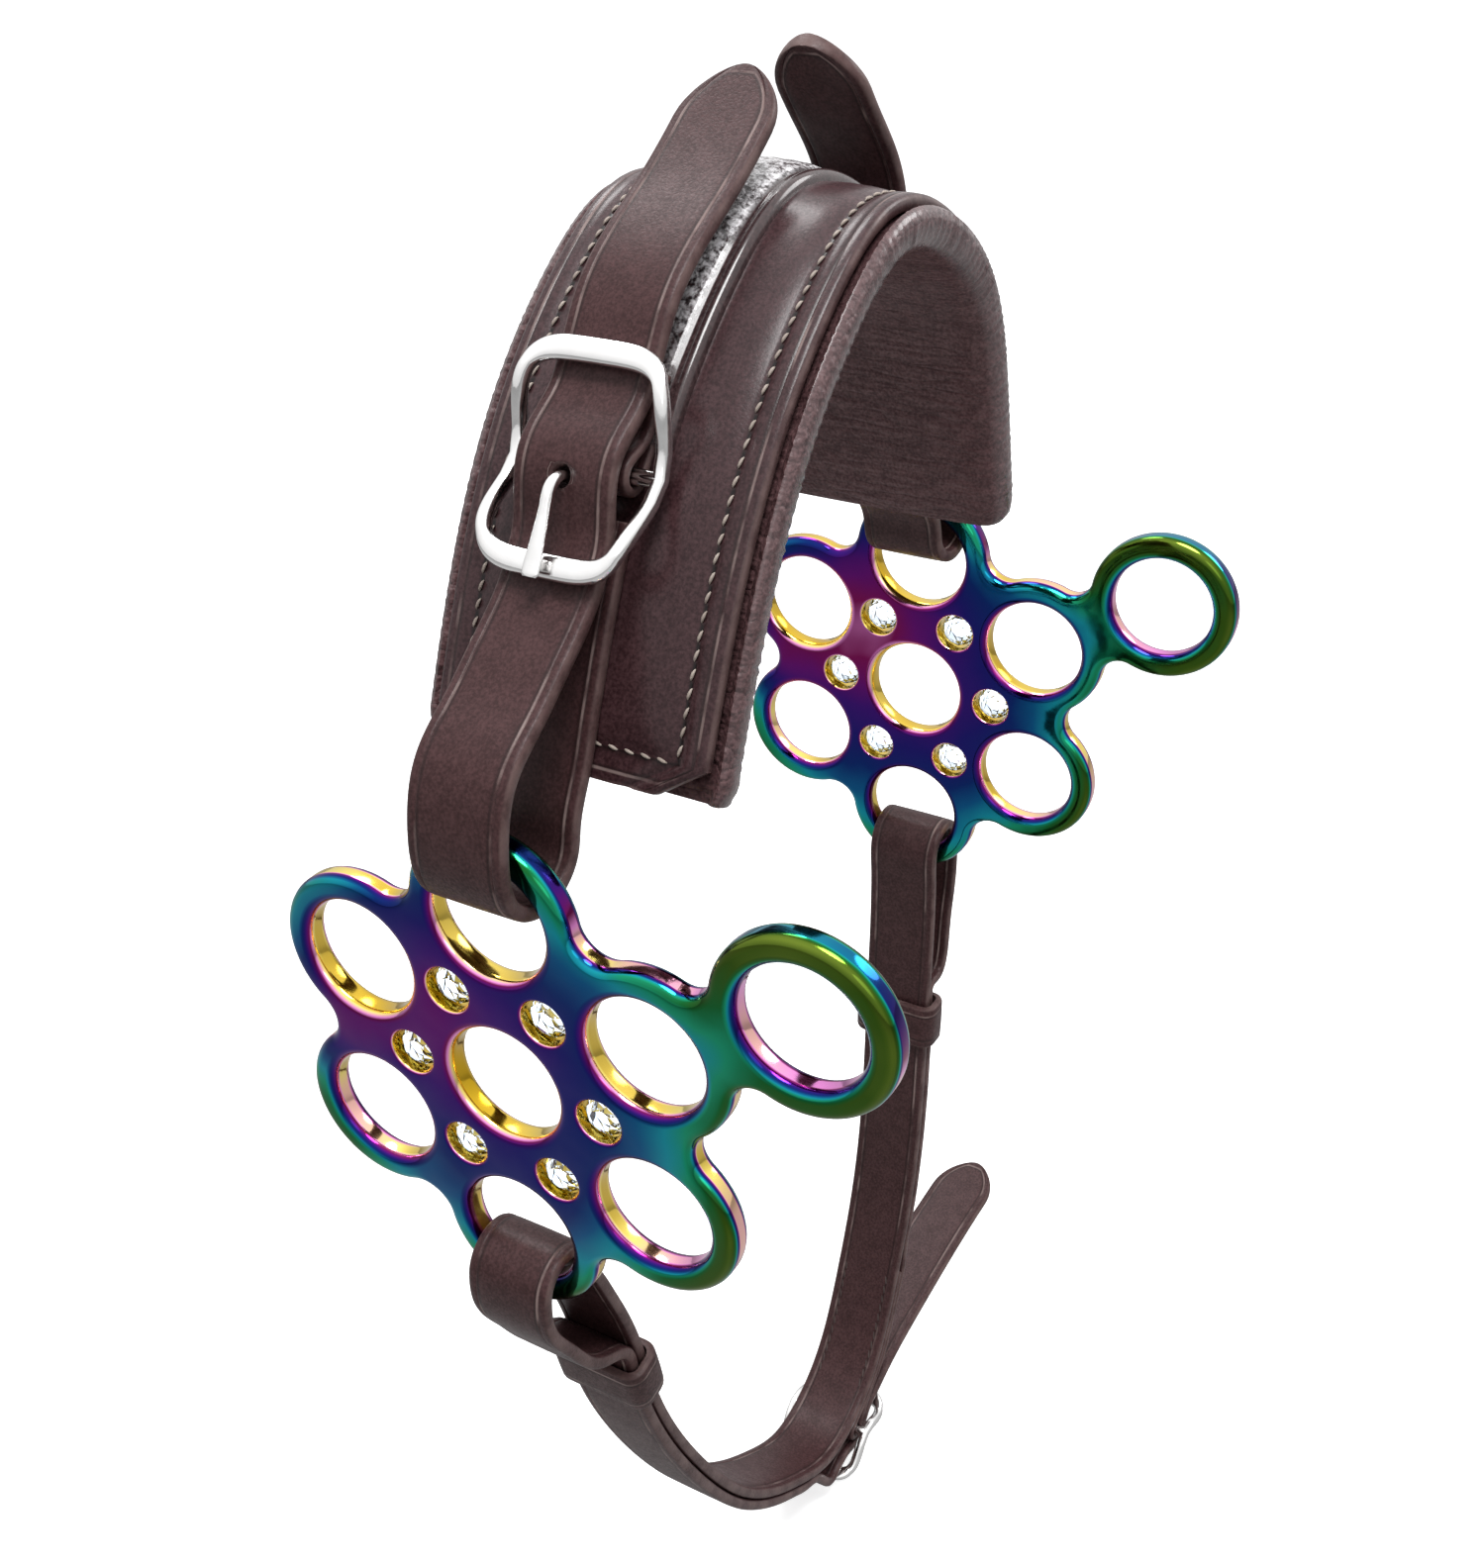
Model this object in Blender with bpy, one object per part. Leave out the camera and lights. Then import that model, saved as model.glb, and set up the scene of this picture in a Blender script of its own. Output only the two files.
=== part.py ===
"""Flower hackamore: a padded leather noseband, two ringed cheek plates hung in
strap loops, and a curb strap under the chin.

Metres, +Z up. The origin is the middle of the nose seat: the underside of the
lining at the crown of the arch. X runs from the left cheek (-X) to the right
cheek (+X), and the shanks of the cheeks point to -Y.
"""

import math

import bmesh
import bpy
import numpy as np

# Fits
CLEARANCE = 0.0003

# Noseband arch: the outer face of the shell, from its crown to its ends
NOSEBAND_HALF_WIDTH = 0.066
NOSEBAND_HEIGHT = 0.0855
ARCH_SHARES = (
    (-1.068, 0.006), (-0.917, 0.287), (-0.652, 0.637), (-0.341, 0.871), (0.0, 1.0), (0.394, 0.930),
    (0.709, 0.702), (0.848, 0.392), (0.935, 0.099),
)
ARCH_STEP = 0.004
CURVE_STEP = 0.001

# Noseband layers, from the outside in
SHELL_THICKNESS = 0.0032
SHELL_WIDTH = 0.057
SHELL_CORNER_WIDTH = 0.009
SHELL_CORNER_LENGTH = 0.006
SHELL_EDGE_ROUND = 0.0008
PADDING_THICKNESS = 0.0054
LINING_THICKNESS = 0.0018
LINING_WIDTH = 0.0635
ROLL_SHARES = ((0.93, 1.0), (0.985, 0.75), (1.0, 0.35))
LIP_SHARES = ((0.25, -0.05), (0.9, -0.25))
LIP_SKIN_SHARE = 0.1
ROLL_INSIDE_SHARES = ((0.025, 0.8, 0.3), (0.07, 1.0, 1.0))
STRIP_WIDTH = 0.0266
STRIP_THICKNESS = 0.0034
STRIP_SECTION_SHARES = (
    (-1.0, 0.12), (-0.985, 0.0), (0.985, 0.0), (1.0, 0.12), (0.995, 0.42), (0.955, 0.62), (0.88, 0.60),
    (0.80, 0.66), (0.55, 0.90), (0.2, 1.0), (-0.2, 1.0), (-0.55, 0.90), (-0.80, 0.66), (-0.88, 0.60),
    (-0.955, 0.62), (-0.995, 0.42),
)
PADDING_SECTION_SHARES = (
    (-0.93, 0.0), (0.93, 0.0), (0.985, 0.18), (1.0, 0.5), (0.96, 0.85), (0.9, 1.0),
    (-0.9, 1.0), (-0.96, 0.85), (-1.0, 0.5), (-0.985, 0.18),
)

# Cheek plates
HUB_SPAN = 0.178
HUB_DROP = 0.131
STRAP_LINE_Y = 0.003
RING_PITCH = 0.036
PLATE_THICKNESS = 0.006
PLATE_EDGE = 0.0015
RING_HOLE_RADIUS = 0.012
RING_RIM = 0.0055
SHANK_REACH = 0.071
PETAL_COUNT = 6
SHANK_ANGLE = math.radians(30)
NOTCH_RADIUS = 0.006
NECK_RADIUS = 0.005
OUTLINE_STEP = 0.0042
HOLE_SIDES = 24

# Crystals
CRYSTAL_PITCH = 0.021
CRYSTAL_HOLE_RADIUS = 0.0047
CRYSTAL_DEPTH = 0.0046
CRYSTAL_GIRDLE = 0.0008
CRYSTAL_TABLE_SHARE = 0.58
CRYSTAL_HOLE_SIDES = 12

# Hanger straps, which carry the cheek plates
HANGER_WIDTH = 0.020
HANGER_THICKNESS = 0.003
HANGER_LOOP_RADIUS = 0.0103
HANGER_LOOP_SHIFT = 0.0028
HANGER_OUTER_SHARES = ((0.09, 0.066), (0.32, 0.145), (0.53, 0.095), (0.73, 0.045))
HANGER_END_GAP = 0.002
LEFT_LIFT_RUN = 0.007
LEFT_LIFT_OUT = 0.0
LEFT_TIP_PLACE = -0.0062
LEFT_TIP_RISE = 0.0205
RIGHT_LIFT_RUN = 0.016
RIGHT_LIFT_OUT = 0.004
RIGHT_TIP_PLACE = 0.0284
RIGHT_TIP_RISE = 0.0215

# Straps in general
STRAP_EDGE = 0.0007
STRAP_STEP = 0.0015
STRAIGHT_STEP = 0.009
TURN_STEP = math.radians(10)
TIP_LENGTH = 0.012
TIP_SHARES = ((0.0, 1.0), (0.45, 0.86), (0.8, 0.62), (1.0, 0.40))
STRAP_HOLE_RADIUS = 0.0021
HOLE_RUN_SHARE = 1.14
HOLE_DEPTH_SHARE = 2.1

# Buckles
BAR_RADIUS = 0.0015
ROD_WIDTH = 0.0036
ROD_THICKNESS = 0.0030
ROD_SIDES = 10
TONGUE_RADIUS = 0.0011
TONGUE_OVERHANG = 0.0008
CHAPE_THICKNESS = 0.0019
CHAPE_SLOT_WIDTH = 0.0044
DRUM_SIDES = 22
STRAP_HOLE_SIDES = 16
FOLD_RUN = 0.006
FOLD_STEP = 0.0015
FRAME_PLAY = 0.0009
FRAME_STEPS = 44
FRAME_SQUARENESS = 4.5
FRAME_RISE_SHARE = 0.8
TONGUE_SIDES = 8
TONGUE_RISE_SHARES = ((1.07, 0.46), (1.22, 0.80), (1.85, 1.0), (3.1, 1.0))
TONGUE_TIP_SHARE = 0.75
BILLET_PLAY = 0.0009
HANGER_BUCKLE_LENGTH = 0.0405
HANGER_BUCKLE_SIDE_GAP = 0.0028
LEFT_BUCKLE_RUN = 0.061
RIGHT_BUCKLE_RUN = 0.078
HANGER_START_GAP = 0.0075
HANGER_CHAPE_RUN = 0.0175
CURB_BUCKLE_LENGTH = 0.030
CURB_BUCKLE_SIDE_GAP = 0.0006

# Curb strap
CURB_WIDTH = 0.019
CURB_THICKNESS = 0.0028
CURB_DROP = 0.2195
CURB_LOOP_RADIUS = 0.0069
CURB_LOOP_SHIFT = 0.0005
CHIN_SHARES = (
    (0.935, 0.30), (0.92, 0.433), (0.899, 0.592), (0.842, 0.738), (0.715, 0.880), (0.540, 0.985),
    (0.300, 1.012), (0.101, 0.972), (-0.09, 0.911), (-0.258, 0.838), (-0.427, 0.733), (-0.584, 0.610),
    (-0.71, 0.475), (-0.765, 0.385), (-0.85, 0.29),
)
FAR_OUTER_SHARES = ((1.087, 0.28), (1.06, 0.345), (1.0, 0.41))
NEAR_OUTER_SHARES = ((-0.90, 0.36), (-1.01, 0.302), (-1.078, 0.25))
CURB_BUCKLE_SHARE = 0.452
FAR_KEEPER_SHARE = 0.13
NEAR_KEEPER_SHARE = 0.876
KEEPER_LEAD_SHARE = 0.9
CURB_LEAD_SHARE = 0.72
CURB_CHAPE_RUN = 0.046
CHAPE_STEP_RUN = 0.010
CURB_TAIL_START = 0.006
CURB_TAIL_RUN = 0.078
TAIL_SHARES = (0.3, 0.65, 1.0)
CURB_TAIL_TURN = math.radians(14)
CURB_TAIL_SWAY = 0.010
PUNCHED_HOLE_RUN = 0.085

# Keepers
KEEPER_LENGTH = 0.013
KEEPER_WALL = 0.0018
KEEPER_BEND_SHARE = 0.3

# Places worked out from the sizes above
HALF_SPAN = HUB_SPAN / 2
ARCH_STACK = SHELL_THICKNESS + PADDING_THICKNESS + LINING_THICKNESS + 2 * CLEARANCE
CROWN_Z = ARCH_STACK
ARCH_END_Z = CROWN_Z - NOSEBAND_HEIGHT
HUB_Z = -HUB_DROP
RING_OUTER_RADIUS = RING_HOLE_RADIUS + RING_RIM
EYE_RADIUS = BAR_RADIUS + CLEARANCE + TONGUE_RADIUS
BAR_HEIGHT = EYE_RADIUS + TONGUE_RADIUS + CLEARANCE
LEFT = -1
RIGHT = 1
BUCKLE_RUNS = {LEFT: LEFT_BUCKLE_RUN, RIGHT: RIGHT_BUCKLE_RUN}
LIFT_RUNS = {LEFT: LEFT_LIFT_RUN, RIGHT: RIGHT_LIFT_RUN}
LIFT_OUTS = {LEFT: LEFT_LIFT_OUT, RIGHT: RIGHT_LIFT_OUT}
TIP_PLACES = {LEFT: LEFT_TIP_PLACE, RIGHT: RIGHT_TIP_PLACE}
TIP_RISES = {LEFT: LEFT_TIP_RISE, RIGHT: RIGHT_TIP_RISE}


def clear_scene():
    for thing in list(bpy.data.objects):
        bpy.data.objects.remove(thing, do_unlink=True)


def make_material(name, colour, roughness, metallic):
    material = bpy.data.materials.new(name)
    material.use_nodes = True
    shader = material.node_tree.nodes["Principled BSDF"]
    shader.inputs["Base Color"].default_value = (*colour, 1.0)
    shader.inputs["Roughness"].default_value = roughness
    shader.inputs["Metallic"].default_value = metallic
    material.diffuse_color = (*colour, 1.0)
    return material


def make_object(name, points, faces, material, origin=(0, 0, 0), smooth_angle=35):
    """One closed mesh with outward faces, its origin where its joint is."""
    shift = np.array(origin, float)
    mesh = bpy.data.meshes.new(name)
    mesh.from_pydata([tuple(point) for point in np.asarray(points) - shift], [], faces)
    shape = bmesh.new()
    shape.from_mesh(mesh)
    bmesh.ops.recalc_face_normals(shape, faces=shape.faces)
    bmesh.ops.triangulate(shape, faces=shape.faces)
    shape.to_mesh(mesh)
    shape.free()
    mesh.shade_smooth()
    mesh.set_sharp_from_angle(angle=math.radians(smooth_angle))
    mesh.materials.append(material)
    thing = bpy.data.objects.new(name, mesh)
    thing.location = shift
    bpy.context.collection.objects.link(thing)
    return thing


def grid_faces(rows, columns, closed_rows=False):
    """Quads between rings of points; the last row meets the first when closed."""
    faces = []
    last = rows if closed_rows else rows - 1
    for row in range(last):
        here = row * columns
        there = ((row + 1) % rows) * columns
        for column in range(columns):
            beside = (column + 1) % columns
            faces.append((here + column, here + beside, there + beside, there + column))
    return faces


def swept_mesh(rings, closed=False):
    """Points and faces of equal rings joined in order, with flat ends unless closed."""
    rows, columns = len(rings), len(rings[0])
    faces = grid_faces(rows, columns, closed)
    if not closed:
        faces.append(tuple(range(columns)))
        faces.append(tuple((rows - 1) * columns + column for column in range(columns)))
    return np.concatenate(rings), faces


def smooth_curve(points, step):
    """A natural cubic spline through the points, sampled at even steps."""
    knots = np.array(points, float)
    spans = np.linalg.norm(np.diff(knots, axis=0), axis=1)
    places = np.concatenate([[0.0], np.cumsum(spans)])
    count = len(knots)
    system = np.eye(count)
    bends = np.zeros_like(knots)
    for row in range(1, count - 1):
        before, after = spans[row - 1], spans[row]
        system[row, row - 1:row + 2] = (before, 2 * (before + after), after)
        bends[row] = 6 * ((knots[row + 1] - knots[row]) / after - (knots[row] - knots[row - 1]) / before)
    seconds = np.linalg.solve(system, bends)
    samples = np.linspace(0.0, places[-1], max(2, int(round(places[-1] / step)) + 1))
    index = np.clip(np.searchsorted(places, samples, side="right") - 1, 0, count - 2)
    width = spans[index][:, None]
    past = (samples - places[index])[:, None]
    left = width - past
    return (
        seconds[index] * left**3 / (6 * width)
        + seconds[index + 1] * past**3 / (6 * width)
        + (knots[index] / width - seconds[index] * width / 6) * left
        + (knots[index + 1] / width - seconds[index + 1] * width / 6) * past
    )


def thinned(curve):
    """Fewer points where the line runs straight, all of them near its last end."""
    along = lengths_along(curve[:, :2])
    slopes = tangents(curve[:, :2])
    headings = np.unwrap(np.arctan2(slopes[:, 1], slopes[:, 0]))
    kept = [0]
    for index in range(1, len(curve) - 1):
        turned = abs(headings[index] - headings[kept[-1]]) > TURN_STEP
        far = along[index] - along[kept[-1]] > STRAIGHT_STEP
        near_tip = along[-1] - along[index] < TIP_LENGTH
        if turned or far or near_tip and index % 2:
            kept.append(index)
    return curve[kept + [len(curve) - 1]]


def tangents(path):
    slopes = np.gradient(path, axis=0)
    return slopes / np.linalg.norm(slopes, axis=1)[:, None]


def normals(path):
    """Unit normals to the left of the direction of travel in the XZ plane."""
    slopes = tangents(path)
    return np.stack([-slopes[:, 1], slopes[:, 0]], axis=1)


def lengths_along(path):
    return np.concatenate([[0.0], np.cumsum(np.linalg.norm(np.diff(path, axis=0), axis=1))])


def station(path, run):
    """The point, tangent and left normal at a distance along a path."""
    along = lengths_along(path)
    point = np.array([np.interp(run, along, path[:, axis]) for axis in (0, 1)])
    slope = np.array([np.interp(run, along, tangents(path)[:, axis]) for axis in (0, 1)])
    slope = slope / np.linalg.norm(slope)
    return point, slope, np.array([-slope[1], slope[0]])


def stretch(path, start, end, level, count):
    """Points at even runs between two stations, raised by a level along the normal."""
    picked = []
    for run in np.linspace(start, end, count):
        point, _, side = station(path, run)
        picked.append(point + level * side)
    return picked


def arc_points(centre, radius, start, end, count):
    angles = np.radians(np.linspace(start, end, count))
    return [np.array([centre[0] + radius * math.cos(a), centre[1] + radius * math.sin(a)]) for a in angles]


def strap_section(width, thickness, edge):
    """A rectangle with clipped corners, as (across, up) pairs."""
    half, up = width / 2, thickness / 2
    return [
        (-half, -up + edge), (-half + edge, -up), (half - edge, -up), (half, -up + edge),
        (half, up - edge), (half - edge, up), (-half + edge, up), (-half, up - edge),
    ]


def strap_rings(path, widths, thicknesses, middles):
    rings = []
    for point, side, width, thickness, middle in zip(path, normals(path), widths, thicknesses, middles):
        section = np.array(strap_section(width, thickness, STRAP_EDGE))
        rings.append(np.stack([
            point[0] + side[0] * section[:, 1],
            middle + section[:, 0],
            point[1] + side[1] * section[:, 1],
        ], axis=1))
    return rings


def tip_widths(path, width):
    """Full width along the strap, drawn in to a blunt point at its last end."""
    left = (lengths_along(path)[-1] - lengths_along(path)) / TIP_LENGTH
    places = [share[0] for share in TIP_SHARES]
    shares = [share[1] for share in TIP_SHARES]
    return width * np.interp(1.0 - left, places, shares)


def cut(target, cutters):
    """Take all the cutters out of the target in one exact Boolean."""
    group = bpy.data.collections.new(target.name + "_cutters")
    for cutter in cutters:
        cutter.hide_render = True
        cutter.display_type = "WIRE"
        group.objects.link(cutter)
    modifier = target.modifiers.new("cut", "BOOLEAN")
    modifier.operation = "DIFFERENCE"
    modifier.solver = "EXACT"
    modifier.operand_type = "COLLECTION"
    modifier.collection = group


def round_cutter(name, centre, direction, radius, depth, material):
    """A round bar across a strap, centred on a point in the XZ plane."""
    across = np.array([0.0, 1.0, 0.0])
    along = np.array([direction[0], 0.0, direction[1]])
    beside = np.cross(along, across)
    middle = np.array([centre[0], STRAP_LINE_Y, centre[1]])
    angles = np.linspace(0, 2 * math.pi, STRAP_HOLE_SIDES, endpoint=False)
    circle = radius * (np.cos(angles)[:, None] * across + np.sin(angles)[:, None] * beside)
    rings = [middle + end * along * depth / 2 + circle for end in (-1, 1)]
    points, faces = swept_mesh(rings)
    return make_object(name, points, faces, material)


def drum_cutter(name, centre, radius, width, material):
    """A round bar lying across a strap."""
    angles = np.linspace(0, 2 * math.pi, DRUM_SIDES, endpoint=False)
    plane = centre + radius * np.stack([np.cos(angles), np.sin(angles)], axis=1)
    rings = [
        np.stack([plane[:, 0], np.full(len(plane), STRAP_LINE_Y + end * width / 2), plane[:, 1]], axis=1)
        for end in (-1, 1)
    ]
    points, faces = swept_mesh(rings)
    return make_object(name, points, faces, material)


def mirrored(points, side):
    return np.asarray(points) * np.array([side, 1.0, 1.0])


def ribbon(name, path, width, thickness, material, side=RIGHT, pointed=False, sway=None):
    """A strap: one thickness or one for each point, and a middle line that may sway in Y."""
    count = len(path)
    widths = tip_widths(path, width) if pointed else np.full(count, width)
    thicknesses = np.broadcast_to(thickness, count)
    middles = np.full(count, STRAP_LINE_Y) if sway is None else STRAP_LINE_Y + sway
    rings = [mirrored(ring, side) for ring in strap_rings(path, widths, thicknesses, middles)]
    points, faces = swept_mesh(rings)
    return make_object(name, points, faces, material)


def arch_path():
    """The outer face of the shell, from its left end over the crown to its right end."""
    knots = [(x * NOSEBAND_HALF_WIDTH, ARCH_END_Z + z * NOSEBAND_HEIGHT) for x, z in ARCH_SHARES]
    return smooth_curve(knots, CURVE_STEP)


def half_arch(whole, side):
    """From the middle of the arch to one end, laid out as on the right-hand side."""
    middle = len(whole) // 2
    half = whole[middle:] if side == RIGHT else whole[middle::-1]
    return half * np.array([side, 1])


def along_chord(start, end, shares):
    """Places beside a straight line: each has a share along it and a share out of it."""
    chord = end - start
    outward = np.array([chord[1], -chord[0]])
    return [start + chord * run + outward * offset for run, offset in shares]


def layer_rings(path, depth_top, depth_base, half_widths, section):
    """Rings for a noseband layer: section gives (across share, depth share) corners."""
    rings = []
    for point, side, half in zip(path, normals(path), half_widths):
        across = np.array([a for a, _ in section]) * half
        level = -(depth_top + (depth_base - depth_top) * np.array([d for _, d in section]))
        rings.append(np.stack([point[0] + side[0] * level, across, point[1] + side[1] * level], axis=1))
    return rings


def even_path(path, step):
    count = max(2, int(round(lengths_along(path)[-1] / step)) + 1)
    runs = np.linspace(0, lengths_along(path)[-1], count)
    along = lengths_along(path)
    return np.stack([np.interp(runs, along, path[:, axis]) for axis in (0, 1)], axis=1)


def shell_object(whole, material):
    """Smooth outer leather with squared ends and clipped corners."""
    length = lengths_along(whole)[-1]
    path = even_path(whole, ARCH_STEP)
    ends = (SHELL_CORNER_LENGTH, length - SHELL_CORNER_LENGTH)
    corner = np.array([station(whole, run)[0] for run in ends])
    path = np.concatenate([path[:1], corner[:1], path[2:-2], corner[1:], path[-1:]])
    half = np.full(len(path), SHELL_WIDTH / 2)
    half[[0, -1]] -= SHELL_CORNER_WIDTH
    rings = []
    for point, side, reach in zip(path, normals(path), half):
        section = np.array(strap_section(2 * reach, SHELL_THICKNESS, SHELL_EDGE_ROUND))
        level = section[:, 1] - SHELL_THICKNESS / 2
        rings.append(np.stack([point[0] + side[0] * level, section[:, 0], point[1] + side[1] * level], axis=1))
    points, faces = swept_mesh(rings)
    return make_object("noseband_shell", points, faces, material)


def padding_object(whole, material):
    """Foam between the shell and the lining, rounded inside the rolled edges."""
    length = lengths_along(whole)[-1]
    inset = LINING_THICKNESS + CLEARANCE
    path = np.array(stretch(whole, inset, length - inset, 0, int(length / ARCH_STEP)))
    top = SHELL_THICKNESS + CLEARANCE
    base = top + PADDING_THICKNESS
    half = LINING_WIDTH / 2 - LINING_THICKNESS - CLEARANCE
    half_widths = np.full(len(path), half)
    points, faces = swept_mesh(layer_rings(path, top, base, half_widths, PADDING_SECTION_SHARES))
    return make_object("noseband_padding", points, faces, material)


def lining_object(whole, material):
    """Soft leather under the foam, rolled up round both edges as a piping."""
    path = even_path(whole, ARCH_STEP)
    half = LINING_WIDTH / 2
    wall = LINING_THICKNESS / half
    inner = half - LINING_THICKNESS
    top = SHELL_THICKNESS + CLEARANCE
    base = ARCH_STACK
    tall = base - top
    skin = LINING_THICKNESS / tall
    lift = (half - SHELL_WIDTH / 2 - CLEARANCE) / half
    lip = 1 - lift * LIP_SHARES[-1][0]
    right = list(ROLL_SHARES)
    right += [(1 - lift * share, depth) for share, depth in LIP_SHARES]
    right += [(lip, skin * LIP_SKIN_SHARE), (1 - wall, ROLL_SHARES[-1][1])]
    right += [(inner / half - inset, depth - skin * part) for inset, depth, part in ROLL_INSIDE_SHARES]
    shares = right + [(-across, depth) for across, depth in reversed(right)]
    points, faces = swept_mesh(layer_rings(path, top, base, np.full(len(path), half), shares))
    return make_object("noseband_lining", points, faces, material)


def strip_object(whole, start, end, material):
    """Raised padded strip along the middle, domed, with rolled edges."""
    path = np.array(stretch(whole, start, end, CLEARANCE, int((end - start) / ARCH_STEP)))
    rings = []
    for point, side in zip(path, normals(path)):
        across = np.array([a for a, _ in STRIP_SECTION_SHARES]) * STRIP_WIDTH / 2
        level = np.array([d for _, d in STRIP_SECTION_SHARES]) * STRIP_THICKNESS
        rings.append(np.stack([
            point[0] + side[0] * level,
            across + STRAP_LINE_Y,
            point[1] + side[1] * level,
        ], axis=1))
    points, faces = swept_mesh(rings)
    return make_object("crown_strip", points, faces, material)


def outline_arcs(inset):
    """The cheek plate's edge in the YZ plane: petals, the shank ring and their fillets."""
    radius = RING_OUTER_RADIUS - inset
    step = 2 * math.pi / PETAL_COUNT
    angles = [SHANK_ANGLE + step * count for count in range(1, PETAL_COUNT)]
    shank_petal = RING_PITCH * np.array([math.cos(SHANK_ANGLE), math.sin(SHANK_ANGLE)])
    shank = SHANK_REACH * np.array([math.cos(SHANK_ANGLE), math.sin(SHANK_ANGLE)])
    centres = [RING_PITCH * np.array([math.cos(a), math.sin(a)]) for a in angles]
    centres = [shank] + [shank_petal] + centres + [shank_petal]
    points = []
    count = len(centres)
    hollows = []
    for index in range(count):
        here, there = centres[index], centres[(index + 1) % count]
        fillet = NECK_RADIUS if index in (0, count - 1) else NOTCH_RADIUS
        gap = there - here
        reach = np.linalg.norm(gap)
        rise = math.sqrt((RING_OUTER_RADIUS + fillet) ** 2 - (reach / 2) ** 2)
        outward = np.array([gap[1], -gap[0]]) / reach
        hollows.append(((here + there) / 2 + outward * rise, fillet + inset))
    for index in range(count):
        before, after = hollows[index - 1][0], hollows[index][0]
        here, there = centres[index], centres[(index + 1) % count]
        points += swept_arc(here, radius, before, after, 1)
        points += swept_arc(after, hollows[index][1], here, there, -1)
    return points


def swept_arc(centre, radius, start_toward, end_toward, turn):
    """Points of an arc whose ends face two other points, without its last one."""
    start = math.atan2(*(start_toward - centre)[::-1])
    end = math.atan2(*(end_toward - centre)[::-1])
    sweep = (end - start) * turn % (2 * math.pi)
    count = max(2, int(round(RING_OUTER_RADIUS * sweep / OUTLINE_STEP)))
    angles = start + turn * sweep * np.arange(count) / count
    return [centre + radius * np.array([math.cos(a), math.sin(a)]) for a in angles]


def circle_points(centre, radius, sides):
    angles = np.linspace(0, 2 * math.pi, sides, endpoint=False)
    return [centre + radius * np.array([math.cos(a), math.sin(a)]) for a in angles]


def ring_centres():
    """Hub, petals and shank ring, as (reach towards the shank side, height) pairs."""
    step = 2 * math.pi / PETAL_COUNT
    centres = [np.zeros(2)]
    centres += [RING_PITCH * np.array([math.cos(a), math.sin(a)])
                for a in (SHANK_ANGLE + step * count for count in range(PETAL_COUNT))]
    centres.append(SHANK_REACH * np.array([math.cos(SHANK_ANGLE), math.sin(SHANK_ANGLE)]))
    return centres


def crystal_centres():
    step = 2 * math.pi / PETAL_COUNT
    return [CRYSTAL_PITCH * np.array([math.cos(step * count), math.sin(step * count)])
            for count in range(PETAL_COUNT)]


def plate_loops(inset):
    loops = [outline_arcs(inset)]
    loops += [circle_points(centre, RING_HOLE_RADIUS + inset, HOLE_SIDES) for centre in ring_centres()]
    loops += [circle_points(centre, CRYSTAL_HOLE_RADIUS + inset, CRYSTAL_HOLE_SIDES)
              for centre in crystal_centres()]
    return loops


def plate_object(name, side, material):
    """A cheek plate: levels of the same loops, filled top and bottom."""
    half = PLATE_THICKNESS / 2
    levels = ((-half, PLATE_EDGE), (PLATE_EDGE - half, 0), (half - PLATE_EDGE, 0), (half, PLATE_EDGE))
    shape = bmesh.new()
    placed = []
    for depth, inset in levels:
        placed.append([
            [shape.verts.new((depth, -point[0], point[1])) for point in loop]
            for loop in plate_loops(inset)
        ])
    for lower, upper in zip(placed, placed[1:]):
        for below, above in zip(lower, upper):
            for index in range(len(below)):
                beside = (index + 1) % len(below)
                shape.faces.new((below[index], below[beside], above[beside], above[index]))
    shape.edges.ensure_lookup_table()
    for level in (placed[0], placed[-1]):
        edges = []
        for loop in level:
            for index, vert in enumerate(loop):
                edges.append(shape.edges.get((vert, loop[(index + 1) % len(loop)])))
        bmesh.ops.triangle_fill(shape, use_beauty=True, use_dissolve=False, edges=edges)
    shape.verts.index_update()
    points = np.array([vert.co for vert in shape.verts])
    faces = [tuple(vert.index for vert in face.verts) for face in shape.faces]
    shape.free()
    middle = np.array([side * HALF_SPAN, STRAP_LINE_Y, HUB_Z])
    return make_object(name, points + middle, faces, material, origin=upper_ring(side), smooth_angle=50)


def upper_ring(side):
    return np.array([side * HALF_SPAN, STRAP_LINE_Y, HUB_Z + RING_PITCH])


def lower_ring(side):
    return np.array([side * HALF_SPAN, STRAP_LINE_Y, HUB_Z - RING_PITCH])


def crystal_objects(label, side, material):
    """Faceted stones set through the plate, a table on each face."""
    radius = CRYSTAL_HOLE_RADIUS - CLEARANCE
    half = CRYSTAL_DEPTH / 2
    profile = ((-half, CRYSTAL_TABLE_SHARE), (-CRYSTAL_GIRDLE / 2, 1.0), (CRYSTAL_GIRDLE / 2, 1.0),
               (half, CRYSTAL_TABLE_SHARE))
    for count, centre in enumerate(crystal_centres(), start=1):
        rings = []
        for depth, share in profile:
            circle = np.array(circle_points(centre, radius * share, CRYSTAL_HOLE_SIDES))
            rings.append(np.stack([np.full(len(circle), depth), -circle[:, 0], circle[:, 1]], axis=1))
        points, faces = swept_mesh(rings)
        middle = np.array([side * HALF_SPAN, STRAP_LINE_Y, HUB_Z])
        make_object(f"crystal_{label}_{count}", points + middle, faces, material, smooth_angle=10)


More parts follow.
